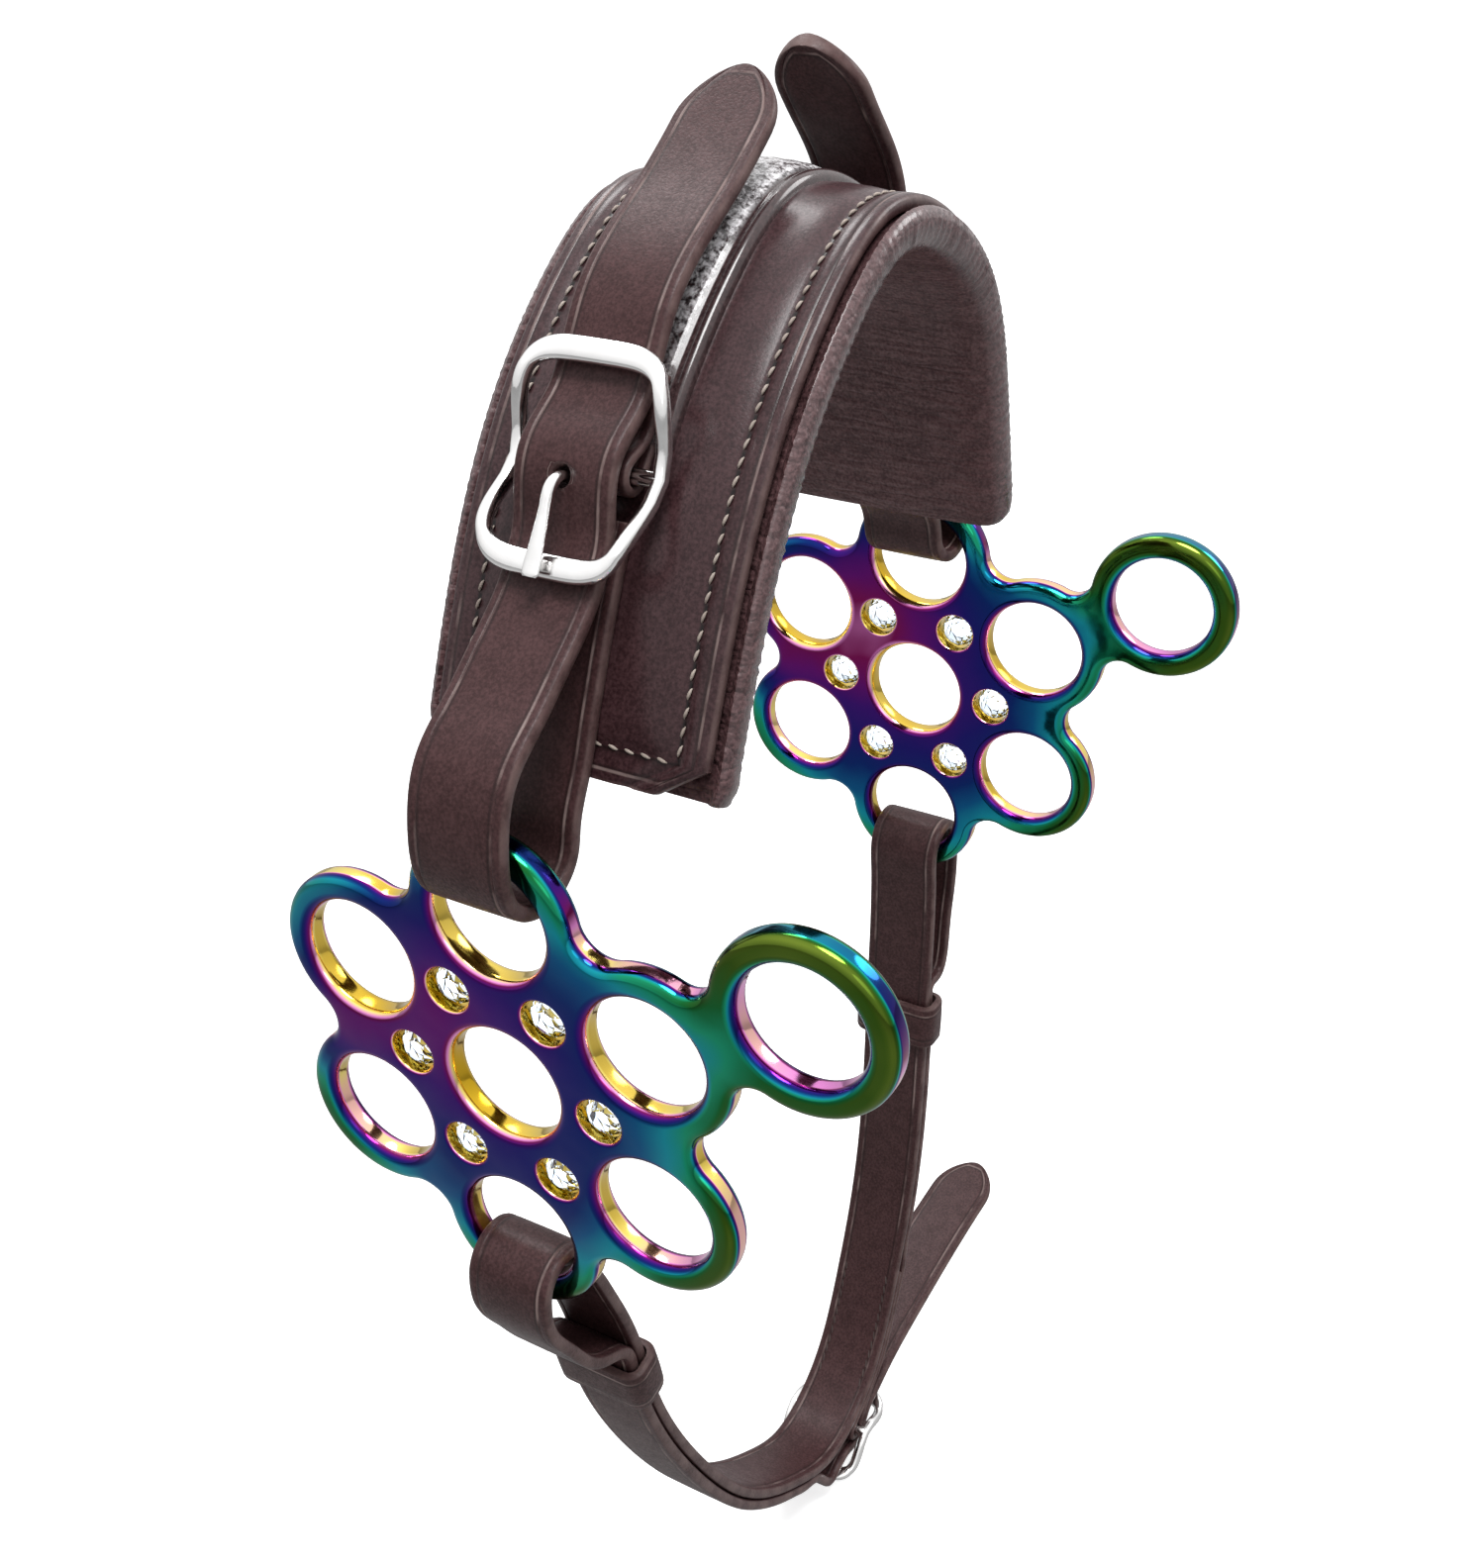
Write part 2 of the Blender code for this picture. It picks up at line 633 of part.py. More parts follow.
class BuckleSeat:
    """The place of a buckle on its strap, and the levels of what passes through it."""

    def __init__(self, path, run, base_level, strap_thickness, strap_width, length, side_gap, forward):
        point, slope, outward = station(path, run)
        self.along = slope * forward
        self.out = outward
        self.bar = point + outward * (base_level + BAR_HEIGHT)
        self.reach = (length - ROD_WIDTH) / 2
        self.half_width = strap_width / 2 + side_gap + ROD_WIDTH / 2
        chape_top = 2 * (CLEARANCE + CHAPE_THICKNESS) - BAR_HEIGHT
        self.low = chape_top + CLEARANCE + strap_thickness / 2
        self.high = EYE_RADIUS + TONGUE_RADIUS + BILLET_PLAY + strap_thickness / 2
        self.bow = self.low + strap_thickness / 2 + FRAME_PLAY + ROD_THICKNESS / 2
        self.strap_thickness = strap_thickness

    def at(self, run, level):
        return self.bar + self.along * run + self.out * level

    def billet_level(self, run):
        """The billet's middle line: low under the end bars, high over the centre bar."""
        flat = self.reach - ROD_WIDTH
        lift = np.cos(np.clip(run / flat, -1, 1) * math.pi / 2) ** 2
        return self.low + (self.high - self.low) * lift

    def strap_points(self, count):
        """The billet under one end bar, over the centre bar and under the other."""
        end = self.reach + ROD_WIDTH / 2
        return [self.at(run, self.billet_level(run)) for run in np.linspace(-end, end, count)]


def buckle_frame(name, seat, side, material):
    """A bowed, rounded frame whose end bars stand proud of the centre bar."""
    angles = np.linspace(0, 2 * math.pi, FRAME_STEPS, endpoint=False)
    square = 2 / FRAME_SQUARENESS
    runs = seat.reach * np.sign(np.cos(angles)) * np.abs(np.cos(angles)) ** square
    across = seat.half_width * np.sign(np.sin(angles)) * np.abs(np.sin(angles)) ** square
    share = np.clip(np.abs(runs) / (seat.reach * FRAME_RISE_SHARE), 0, 1)
    lifts = seat.bow * share * share * (3 - 2 * share)
    middles = np.stack([runs, across, lifts], axis=1)
    ahead = np.roll(middles, -1, axis=0) - np.roll(middles, 1, axis=0)
    ahead /= np.linalg.norm(ahead, axis=1)[:, None]
    up = np.array([0.0, 0.0, 1.0])
    flat = np.cross(ahead, up)
    flat /= np.linalg.norm(flat, axis=1)[:, None]
    proud = np.cross(flat, ahead)
    turns = np.linspace(0, 2 * math.pi, ROD_SIDES, endpoint=False)
    wide = np.cos(turns)[:, None] * ROD_WIDTH / 2
    tall = np.sin(turns)[:, None] * ROD_THICKNESS / 2
    rings = [middle + wide * beside + tall * rise for middle, beside, rise in zip(middles, flat, proud)]
    points, faces = swept_mesh(rings, closed=True)
    frame = make_object(name, seat_to_world(points, seat, side), faces, material, bar_origin(seat, side))
    half_bar = seat.half_width
    circle = BAR_RADIUS * np.stack([np.cos(turns), np.zeros(ROD_SIDES), np.sin(turns)], axis=1)
    bar_rings = [circle + np.array([0, end * half_bar, 0]) for end in (-1, 1)]
    points, faces = swept_mesh(bar_rings)
    bar = make_object(name + "_bar_guide", seat_to_world(points, seat, side), faces, material)
    bar.hide_render = True
    bar.display_type = "WIRE"
    join = frame.modifiers.new("bar", "BOOLEAN")
    join.operation = "UNION"
    join.solver = "EXACT"
    join.object = bar
    return frame


def seat_to_world(points, seat, side):
    """Points given as (run, across, level) on a buckle seat, in the part's frame."""
    places = np.asarray(points)
    plane = seat.bar + places[:, :1] * seat.along + places[:, 2:] * seat.out
    return np.stack([side * plane[:, 0], STRAP_LINE_Y + places[:, 1], plane[:, 1]], axis=1)


def bar_origin(seat, side):
    return np.array([side * seat.bar[0], STRAP_LINE_Y, seat.bar[1]])


def buckle_tongue(name, seat, side, material):
    """A bent rod: an eye round the bar, up through the strap, and over the end bar."""
    over = seat.high + seat.strap_thickness / 2 + CLEARANCE + TONGUE_RADIUS
    rest = seat.bow + ROD_THICKNESS / 2 + CLEARANCE + TONGUE_RADIUS
    eye = [EYE_RADIUS * np.array([math.cos(a), math.sin(a)]) for a in np.radians(np.arange(60, -181, -24))]
    rise = [(-EYE_RADIUS * run, over * level) for run, level in TONGUE_RISE_SHARES]
    tip = [(-seat.reach * TONGUE_TIP_SHARE, (over + rest) / 2)]
    tip += [(-seat.reach - ROD_WIDTH / 2 - TONGUE_OVERHANG, rest)]
    path = smooth_curve(np.array(eye + rise + tip), STRAP_STEP)
    turns = np.linspace(0, 2 * math.pi, TONGUE_SIDES, endpoint=False)
    rings = []
    for point, beside in zip(path, normals(path)):
        rings.append(np.stack([
            point[0] + beside[0] * TONGUE_RADIUS * np.cos(turns),
            TONGUE_RADIUS * np.sin(turns),
            point[1] + beside[1] * TONGUE_RADIUS * np.cos(turns),
        ], axis=1))
    points, faces = swept_mesh(rings)
    return make_object(name, seat_to_world(points, seat, side), faces, material, bar_origin(seat, side))


def fold_points(seat, count):
    """The strap's fold round the centre bar, from its lower side round to its upper side."""
    radius = BAR_RADIUS + CLEARANCE + CHAPE_THICKNESS / 2
    angles = np.linspace(0, math.pi, count)
    return [seat.at(-radius * math.sin(a), -radius * math.cos(a)) for a in angles]


def chape_levels(base_level):
    lower = base_level + CLEARANCE + CHAPE_THICKNESS / 2
    return lower, lower + CHAPE_THICKNESS + CLEARANCE


def tongue_slot(seat, side, material, name):
    """Room in the fold for the tongue's eye."""
    radius = EYE_RADIUS + TONGUE_RADIUS + CLEARANCE / 2
    return drum_cutter(name, seat.bar * (side, 1), radius, CHAPE_SLOT_WIDTH, material)


def strap_hole(point, out, depth, side, material, name):
    return round_cutter(name, point * (side, 1), out * (side, 1), STRAP_HOLE_RADIUS, depth, material)


def billet_hole(seat, side, material, name):
    """The hole in the billet that the tongue comes up through."""
    run = -HOLE_RUN_SHARE * EYE_RADIUS
    depth = seat.strap_thickness * HOLE_DEPTH_SHARE
    return strap_hole(seat.at(run, seat.billet_level(run)), seat.out, depth, side, material, name)


def loop_height(strap_width, loop_radius, strap_thickness, loop_shift):
    """From a ring's centre to a loop's centre, the strap's edges resting in the hole."""
    chord = math.sqrt((RING_HOLE_RADIUS - CLEARANCE) ** 2 - (strap_width / 2) ** 2)
    inner = loop_radius - strap_thickness / 2
    rim = PLATE_THICKNESS / 2 - PLATE_EDGE + loop_shift
    return chord + math.sqrt(inner**2 - rim**2)


def hanger_seat(arch, side):
    return BuckleSeat(arch, BUCKLE_RUNS[side], 0, HANGER_THICKNESS, HANGER_WIDTH,
                      HANGER_BUCKLE_LENGTH, HANGER_BUCKLE_SIDE_GAP, -1)


def hanger_path(arch, side, seat):
    """Down the shell, through the cheek's upper ring and up through the buckle to the free tip."""
    start = BUCKLE_RUNS[side] + HANGER_START_GAP
    end = lengths_along(arch)[-1] - HANGER_END_GAP
    knots = stretch(arch, start, end, CLEARANCE + HANGER_THICKNESS / 2, 7)
    height = loop_height(HANGER_WIDTH, HANGER_LOOP_RADIUS, HANGER_THICKNESS, HANGER_LOOP_SHIFT)
    centre = np.array([HALF_SPAN - HANGER_LOOP_SHIFT, HUB_Z + RING_PITCH + height])
    knots += arc_points(centre, HANGER_LOOP_RADIUS, 180, 360, 7)
    billet = seat.strap_points(13)
    knots += along_chord(knots[-1], billet[0], HANGER_OUTER_SHARES)
    knots += billet
    lift = knots[-1] + seat.along * LIFT_RUNS[side] + seat.out * LIFT_OUTS[side]
    tip = np.array([TIP_PLACES[side], CROWN_Z + TIP_RISES[side]])
    knots += [lift, (lift + tip) / 2, tip]
    return thinned(smooth_curve(knots, STRAP_STEP))


def hanger_objects(arch, side, label, leather, steel):
    seat = hanger_seat(arch, side)
    strap = ribbon(f"hanger_strap_{label}", hanger_path(arch, side, seat), HANGER_WIDTH, HANGER_THICKNESS,
                   leather, side, pointed=True)
    cut(strap, [billet_hole(seat, side, leather, f"hanger_hole_{label}")])
    lower, upper = chape_levels(0)
    start, end = BUCKLE_RUNS[side] - HANGER_CHAPE_RUN, BUCKLE_RUNS[side] - FOLD_RUN
    knots = stretch(arch, start, end, lower, 3) + fold_points(seat, 9) + stretch(arch, end, start, upper, 3)
    chape = ribbon(f"buckle_chape_{label}", smooth_curve(knots, FOLD_STEP), HANGER_WIDTH, CHAPE_THICKNESS,
                   leather, side)
    cut(chape, [tongue_slot(seat, side, leather, f"chape_slot_{label}")])
    buckle_frame(f"buckle_frame_{label}", seat, side, steel)
    buckle_tongue(f"buckle_tongue_{label}", seat, side, steel)


def curb_loop_centre(side):
    height = loop_height(CURB_WIDTH, CURB_LOOP_RADIUS, CURB_THICKNESS, CURB_LOOP_SHIFT)
    return np.array([side * (HALF_SPAN + CURB_LOOP_SHIFT), HUB_Z - RING_PITCH - height])


def curb_point(share):
    return np.array([share[0] * HALF_SPAN, HUB_Z - share[1] * CURB_DROP])


def chin_knots():
    right, left = curb_loop_centre(RIGHT), curb_loop_centre(LEFT)
    inward = np.array([CURB_LOOP_RADIUS, 0])
    return [right - inward] + [curb_point(share) for share in CHIN_SHARES] + [left + inward]


def chin_path():
    """The inner layer under the chin, from the right ring down and up to the left ring."""
    return smooth_curve(chin_knots(), CURVE_STEP)


def curb_seat(chin):
    run = lengths_along(chin)[-1] * CURB_BUCKLE_SHARE
    return run, BuckleSeat(chin, run, CURB_THICKNESS / 2, CURB_THICKNESS, CURB_WIDTH,
                           CURB_BUCKLE_LENGTH, CURB_BUCKLE_SIDE_GAP, -1)


def keeper_runs(chin):
    length = lengths_along(chin)[-1]
    return FAR_KEEPER_SHARE * length, NEAR_KEEPER_SHARE * length


def with_columns(points, thickness, sway=0.0):
    return [(*point, thickness, sway) for point in points]


def curb_knots(chin):
    """The whole strap, as places with a thickness and a sideways sway."""
    run, seat = curb_seat(chin)
    far, near = keeper_runs(chin)
    lower, upper = chape_levels(CURB_THICKNESS / 2)
    outer = CURB_THICKNESS + CLEARANCE
    start, end = run - CURB_CHAPE_RUN, run - FOLD_RUN
    knots = with_columns(stretch(chin, start, end, lower, 5), CHAPE_THICKNESS)
    knots += with_columns(fold_points(seat, 9), CHAPE_THICKNESS)
    knots += with_columns(stretch(chin, end, start - CHAPE_THICKNESS, upper, 5), CHAPE_THICKNESS)
    step_end = start - CHAPE_STEP_RUN
    lead = KEEPER_LENGTH * KEEPER_LEAD_SHARE
    knots += with_columns(stretch(chin, step_end, far - lead, outer, 9), CURB_THICKNESS)
    route = [curb_point(share) for share in reversed(FAR_OUTER_SHARES)]
    route += arc_points(curb_loop_centre(RIGHT), CURB_LOOP_RADIUS, 0, 180, 7)
    route += stretch(chin, CURB_LOOP_RADIUS, lengths_along(chin)[-1] - CURB_LOOP_RADIUS, 0, 44)
    route += arc_points(curb_loop_centre(LEFT), CURB_LOOP_RADIUS, 0, 180, 7)
    route += [curb_point(share) for share in reversed(NEAR_OUTER_SHARES)]
    route += stretch(chin, near + lead, run + CURB_BUCKLE_LENGTH * CURB_LEAD_SHARE, outer, 22)
    route += seat.strap_points(13)
    knots += with_columns(route, CURB_THICKNESS)
    turn = np.array([math.cos(CURB_TAIL_TURN), math.sin(CURB_TAIL_TURN)])
    heading = seat.along * turn[0] + seat.out * turn[1]
    clear = route[-1] + seat.along * CURB_TAIL_START
    knots += with_columns([clear], CURB_THICKNESS)
    for share in TAIL_SHARES:
        place = clear + heading * CURB_TAIL_RUN * share
        knots += with_columns([place], CURB_THICKNESS, -CURB_TAIL_SWAY * share**2)
    return knots


def curb_objects(leather, steel):
    chin = chin_path()
    run, seat = curb_seat(chin)
    curve = thinned(smooth_curve(curb_knots(chin), STRAP_STEP))
    strap = ribbon("curb_strap", curve[:, :2], CURB_WIDTH, curve[:, 2], leather,
                   pointed=True, sway=curve[:, 3])
    point, _, out = station(chin, run + PUNCHED_HOLE_RUN)
    cutters = [
        tongue_slot(seat, RIGHT, leather, "curb_slot"),
        billet_hole(seat, RIGHT, leather, "curb_hole"),
        strap_hole(point + out * (CURB_THICKNESS + CLEARANCE), out, CURB_THICKNESS + CLEARANCE, RIGHT,
                   leather, "curb_spare_hole"),
    ]
    cut(strap, cutters)
    buckle_frame("curb_buckle_frame", seat, RIGHT, steel)
    buckle_tongue("curb_buckle_tongue", seat, RIGHT, steel)
    for name, place in zip(("curb_keeper_right", "curb_keeper_left"), keeper_runs(chin)):
        keeper_object(name, chin, place, leather)


def keeper_object(name, chin, run, material):
    """A closed leather band round both layers of the curb strap."""
    point, slope, out = station(chin, run)
    low = -CURB_THICKNESS / 2 - CLEARANCE * 2
    high = CURB_THICKNESS / 2 + CLEARANCE + CURB_THICKNESS + CLEARANCE * 2
    half = CURB_WIDTH / 2 + CLEARANCE * 2
    corners = []
    for grow in (0, KEEPER_WALL):
        bend = KEEPER_WALL * KEEPER_BEND_SHARE + grow * (1 - KEEPER_BEND_SHARE)
        for across, level, turn in ((1, 1, 0), (-1, 1, 90), (-1, -1, 180), (1, -1, 270)):
            height = high + grow - bend if level > 0 else low - grow + bend
            centre = ((half + grow - bend) * across, height)
            corners.append([np.array(place) for place in arc_points(centre, bend, turn, turn + 90, 3)])
    inner = np.array([place for corner in corners[:4] for place in corner])
    outer = np.array([place for corner in corners[4:] for place in corner])
    rings = []
    for loop, end in ((inner, -1), (outer, -1), (outer, 1), (inner, 1)):
        shift = end * KEEPER_LENGTH / 2
        plane = point + np.outer(loop[:, 1], out) + slope * shift
        rings.append(np.stack([plane[:, 0], STRAP_LINE_Y + loop[:, 0], plane[:, 1]], axis=1))
    points, faces = np.concatenate(rings), grid_faces(4, len(inner), closed_rows=True)
    middle = point + out * (low + high) / 2
    return make_object(name, points, faces, material, origin=(middle[0], STRAP_LINE_Y, middle[1]))


def build():
    whole = arch_path()
    smooth = make_material("bridle_leather", (0.075, 0.048, 0.042), 0.42, 0.0)
    soft = make_material("lining_leather", (0.085, 0.055, 0.048), 0.55, 0.0)
    crinkled = make_material("crinkled_leather", (0.095, 0.065, 0.058), 0.50, 0.0)
    foam = make_material("foam", (0.10, 0.10, 0.10), 0.9, 0.0)
    steel = make_material("nickel", (0.80, 0.79, 0.78), 0.15, 1.0)
    rainbow = make_material("rainbow_coat", (0.20, 0.15, 0.55), 0.18, 1.0)
    stone = make_material("crystal", (0.85, 0.92, 0.98), 0.05, 0.0)
    shell_object(whole, smooth)
    padding_object(whole, foam)
    lining_object(whole, soft)
    middle = lengths_along(whole)[len(whole) // 2]
    spare = HANGER_CHAPE_RUN + CLEARANCE
    strip_object(whole, middle - LEFT_BUCKLE_RUN + spare, middle + RIGHT_BUCKLE_RUN - spare, crinkled)
    for side, label in ((LEFT, "left"), (RIGHT, "right")):
        plate_object(f"cheek_plate_{label}", side, rainbow)
        crystal_objects(label, side, stone)
        hanger_objects(half_arch(whole, side), side, label, smooth, steel)
    curb_objects(smooth, steel)


clear_scene()
build()
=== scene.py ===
# %% [markdown]
# Flower hackamore. A bitless noseband for a horse: a padded leather arch that lies over the
# nose, two metal cheek plates made of joined rings, and a curb strap that runs under the chin.
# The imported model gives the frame. Each visible piece below is dressed over that frame, in metres,
# with +Z up and the shanks of the plates pointing to -Y.

import math

import bmesh
import bpy
import numpy as np
from mathutils import Matrix, Vector


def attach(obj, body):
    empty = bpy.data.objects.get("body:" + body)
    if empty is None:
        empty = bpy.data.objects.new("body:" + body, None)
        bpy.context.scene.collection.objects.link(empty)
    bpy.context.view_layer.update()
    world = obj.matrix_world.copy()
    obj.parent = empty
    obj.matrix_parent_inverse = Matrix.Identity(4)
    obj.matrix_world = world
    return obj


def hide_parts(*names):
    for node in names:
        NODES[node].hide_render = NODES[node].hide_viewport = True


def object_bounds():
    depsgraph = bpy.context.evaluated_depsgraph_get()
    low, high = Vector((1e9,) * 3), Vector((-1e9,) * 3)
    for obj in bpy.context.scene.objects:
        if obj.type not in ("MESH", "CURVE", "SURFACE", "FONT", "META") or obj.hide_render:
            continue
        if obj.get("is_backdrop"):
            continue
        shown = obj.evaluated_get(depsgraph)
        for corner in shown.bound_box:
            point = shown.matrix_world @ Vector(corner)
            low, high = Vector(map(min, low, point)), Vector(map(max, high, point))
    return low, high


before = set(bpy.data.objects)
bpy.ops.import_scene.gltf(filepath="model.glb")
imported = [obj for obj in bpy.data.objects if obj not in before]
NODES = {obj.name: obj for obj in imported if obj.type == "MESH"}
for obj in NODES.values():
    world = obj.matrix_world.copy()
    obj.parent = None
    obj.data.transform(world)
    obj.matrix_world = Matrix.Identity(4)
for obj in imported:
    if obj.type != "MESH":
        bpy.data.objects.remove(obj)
CAD_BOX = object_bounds()
print("frame loaded:", len(NODES), "nodes")

# %% [markdown]
# The camera stands close to the object, out past the left cheek and a little above the nose, and
# looks down at it. A short distance gives the strong perspective of the photograph, so the place
# and the lens both matter. Both were fitted to points that show in the photo.

# %% Camera
CAMERA_PLACE = Vector((-0.2902, -0.1654, 0.0823))
LOOK = Vector((0.7438, 0.4370, -0.5057)).normalized()
ABOVE = Vector((0.4480, 0.2355, 0.8624))
LENS_MM, SENSOR_MM = 41.22, 36.0
aside = LOOK.cross(ABOVE).normalized()
upright = aside.cross(LOOK).normalized()
camera = bpy.data.objects.new("camera", bpy.data.cameras.new("camera"))
bpy.context.collection.objects.link(camera)
turned = Matrix((aside, upright, -LOOK)).transposed().to_4x4()
camera.matrix_world = Matrix.Translation(CAMERA_PLACE) @ turned
camera.data.lens = LENS_MM
camera.data.sensor_width = SENSOR_MM
camera.data.clip_start = 0.01
bpy.context.scene.camera = camera
print("camera at", tuple(round(v, 3) for v in camera.location))

# %% [markdown]
# Every strap here is a ribbon: one line in the XZ plane with a width across Y. The line is a
# natural cubic spline through a few knots. It bends evenly, as leather does, where straight runs
# and arcs would show kinks.

# %% Lines in the XZ plane
def smooth_line(knots, step):
    """Cubic spline: between two knots the point is their weighted mean plus bending terms,
    each the second derivative times (cube of the distance left) over six widths."""
    knots = np.array(knots, float)
    spans = np.linalg.norm(np.diff(knots[:, :2], axis=0), axis=1)
    places = np.concatenate([[0.0], np.cumsum(spans)])
    count = len(knots)
    system = np.eye(count)
    bends = np.zeros_like(knots)
    rows = np.arange(1, count - 1)
    system[rows, rows - 1], system[rows, rows], system[rows, rows + 1] = (
        spans[:-1], 2 * (spans[:-1] + spans[1:]), spans[1:])
    rates = np.diff(knots, axis=0) / spans[:, None]
    bends[1:-1] = 6 * np.diff(rates, axis=0)
    seconds = np.linalg.solve(system, bends)
    samples = np.linspace(0.0, places[-1], max(2, int(round(places[-1] / step)) + 1))
    at = np.clip(np.searchsorted(places, samples, side="right") - 1, 0, count - 2)
    width, past = spans[at][:, None], (samples - places[at])[:, None]
    left = width - past
    return (seconds[at] * left**3 / (6 * width) + seconds[at + 1] * past**3 / (6 * width)
            + (knots[at] / width - seconds[at] * width / 6) * left
            + (knots[at + 1] / width - seconds[at + 1] * width / 6) * past)


def runs(line):
    """Distance along the line: the running sum of the gaps between its points."""
    return np.concatenate([[0.0], np.cumsum(np.linalg.norm(np.diff(line[:, :2], axis=0), axis=1))])


def headings(line):
    """Unit tangent at each point, from the difference of its neighbours."""
    slopes = np.gradient(line[:, :2], axis=0)
    return slopes / np.linalg.norm(slopes, axis=1)[:, None]


def leftward(line):
    """Unit normal on the left of the way along: the tangent turned by a quarter."""
    slopes = headings(line)
    return np.stack([-slopes[:, 1], slopes[:, 0]], axis=1)


def on_line(line, run):
    """Points, tangents and left normals at the given distances along a line."""
    along, slopes = runs(line), headings(line)
    run = np.atleast_1d(run)
    place = np.stack([np.interp(run, along, line[:, k]) for k in (0, 1)], axis=1)
    slope = np.stack([np.interp(run, along, slopes[:, k]) for k in (0, 1)], axis=1)
    slope /= np.linalg.norm(slope, axis=1)[:, None]
    return place, slope, np.stack([-slope[:, 1], slope[:, 0]], axis=1)


def raised(line, start, end, level, count):
    """The stretch of a line between two distances, moved out by a level."""
    place, _, out = on_line(line, np.linspace(start, end, count))
    return list(place + level * out)


def wheel(radius, turns):
    """Points of a circle: radius times (cosine, sine) of each angle."""
    return radius * np.stack([np.cos(turns), np.sin(turns)], axis=-1)


def full_turn(count):
    """Evenly spaced angles once round, without the last, which is the first again."""
    return np.linspace(0, 2 * math.pi, count, endpoint=False)


def arc(centre, radius, start, end, count):
    """Part of a circle between two angles in degrees."""
    return list(np.asarray(centre) + wheel(radius, np.radians(np.linspace(start, end, count))))


def in_space(flat, across):
    """Points (x, z) of the plane as points (x, across, z)."""
    return np.stack([flat[..., 0], np.broadcast_to(across, flat.shape[:-1]), flat[..., 1]], axis=-1)


print("line tools ready")

# %% [markdown]
# All new pieces are grids of points: one parameter goes round the section, the other along the
# piece. The helper below joins such a grid with quads, closes its ends, turns the faces out and
# stores two numbers at every point for the materials: the distance to the nearest edge and the
# distance along the piece.

# %% Grid to mesh
def skin(name, points, material, loop=False, rim=None, run=None, sharp=40):
    """points is (rows, columns, 3). Quads join each point to the next in its row, and the last to
    the first, and to the same place in the next row. With loop the last row joins the first one;
    without it the first and the last row are closed by one face each."""
    rows, columns = points.shape[:2]
    index = np.arange(rows * columns).reshape(rows, columns)
    beside = np.roll(index, -1, axis=1)
    after = np.roll(index, -1, axis=0)
    corner = np.roll(beside, -1, axis=0)
    down = slice(None) if loop else slice(0, rows - 1)
    faces = np.stack([index, beside, corner, after], axis=-1)[down].reshape(-1, 4).tolist()
    if not loop:
        faces += [index[0, ::-1].tolist(), index[-1].tolist()]
    mesh = bpy.data.meshes.new(name)
    mesh.from_pydata(points.reshape(-1, 3), [], faces)
    for label, values in (("rim", rim), ("run", run)):
        layer = mesh.attributes.new(label, "FLOAT", "POINT")
        filled = np.zeros((rows, columns)) if values is None else np.broadcast_to(values, (rows, columns))
        layer.data.foreach_set("value", filled.reshape(-1).astype(np.float32))
    return as_piece(name, mesh, material, sharp)


def as_piece(name, mesh, material, sharp=40):
    """Faces out, smooth shading with sharp edges past an angle, and one material."""
    shape = bmesh.new()
    shape.from_mesh(mesh)
    bmesh.ops.recalc_face_normals(shape, faces=shape.faces)
    shape.to_mesh(mesh)
    shape.free()
    mesh.shade_smooth()
    mesh.set_sharp_from_angle(angle=math.radians(sharp))
    mesh.materials.append(material)
    piece = bpy.data.objects.new(name, mesh)
    bpy.context.collection.objects.link(piece)
    return piece


def swept(line, across, up, middle):
    """A section carried along a line: each point is the line's point, plus its up value times
    the left normal, with its across value added to the middle value in Y."""
    out = leftward(line)
    points = np.empty(up.shape + (3,))
    points[..., 0] = line[:, 0, None] + out[:, 0, None] * up
    points[..., 1] = middle[:, None] + across
    points[..., 2] = line[:, 1, None] + out[:, 1, None] * up
    return points


def combined(piece, tool, kind):
    """Takes the tool's shape out of the piece (DIFFERENCE) or adds it (UNION), and drops the tool.
    The result is applied, so that the finished piece keeps no modifier."""
    work = piece.modifiers.new("work", "BOOLEAN")
    work.operation, work.solver, work.object = kind, "EXACT", tool
    bpy.context.view_layer.update()
    done = bpy.data.meshes.new_from_object(piece.evaluated_get(bpy.context.evaluated_depsgraph_get()))
    piece.modifiers.clear()
    piece.data = done
    bpy.data.objects.remove(tool, do_unlink=True)


print("mesh tools ready")

# %% [markdown]
# The leather is finished in layers, as a saddler does it: a dark dye that is a little uneven, a
# fine grain, a creased line near each edge with a painted highlight along it and painted shade
# beside it, and cut edges painted paler, partly for wear and partly as a painted edge highlight.
# The grain and the unevenness are used by every leather here, so they are one node group.

# %% Node tools
def group_of(name, inputs, outputs):
    """An empty shader group with named number and vector sockets."""
    group = bpy.data.node_groups.new(name, "ShaderNodeTree")
    kinds = {"float": "NodeSocketFloat", "vector": "NodeSocketVector"}
    for label, kind, value in inputs:
        socket = group.interface.new_socket(label, in_out="INPUT", socket_type=kinds[kind])
        if value is not None:
            socket.default_value = value
    for label, kind in outputs:
        group.interface.new_socket(label, in_out="OUTPUT", socket_type=kinds[kind])
    return group, group.nodes.new("NodeGroupInput"), group.nodes.new("NodeGroupOutput")


def sum_of(tree, kind, first, second, third=None):
    """A Math node; numbers go into its sockets and sockets are linked."""
    node = tree.nodes.new("ShaderNodeMath")
    node.operation = kind
    for socket, value in zip(node.inputs, (first, second, third)):
        if value is None:
            continue
        if isinstance(value, (int, float)):
            socket.default_value = value
        else:
            tree.links.new(value, socket)
    return node.outputs[0]


def spread(tree, value, low, high, to_low=0.0, to_high=1.0):
    """A Map Range node with smooth ends."""
    node = tree.nodes.new("ShaderNodeMapRange")
    node.interpolation_type = "SMOOTHSTEP"
    tree.links.new(value, node.inputs["Value"])
    for label, number in (("From Min", low), ("From Max", high), ("To Min", to_low), ("To Max", to_high)):
        node.inputs[label].default_value = number
    return node.outputs["Result"]


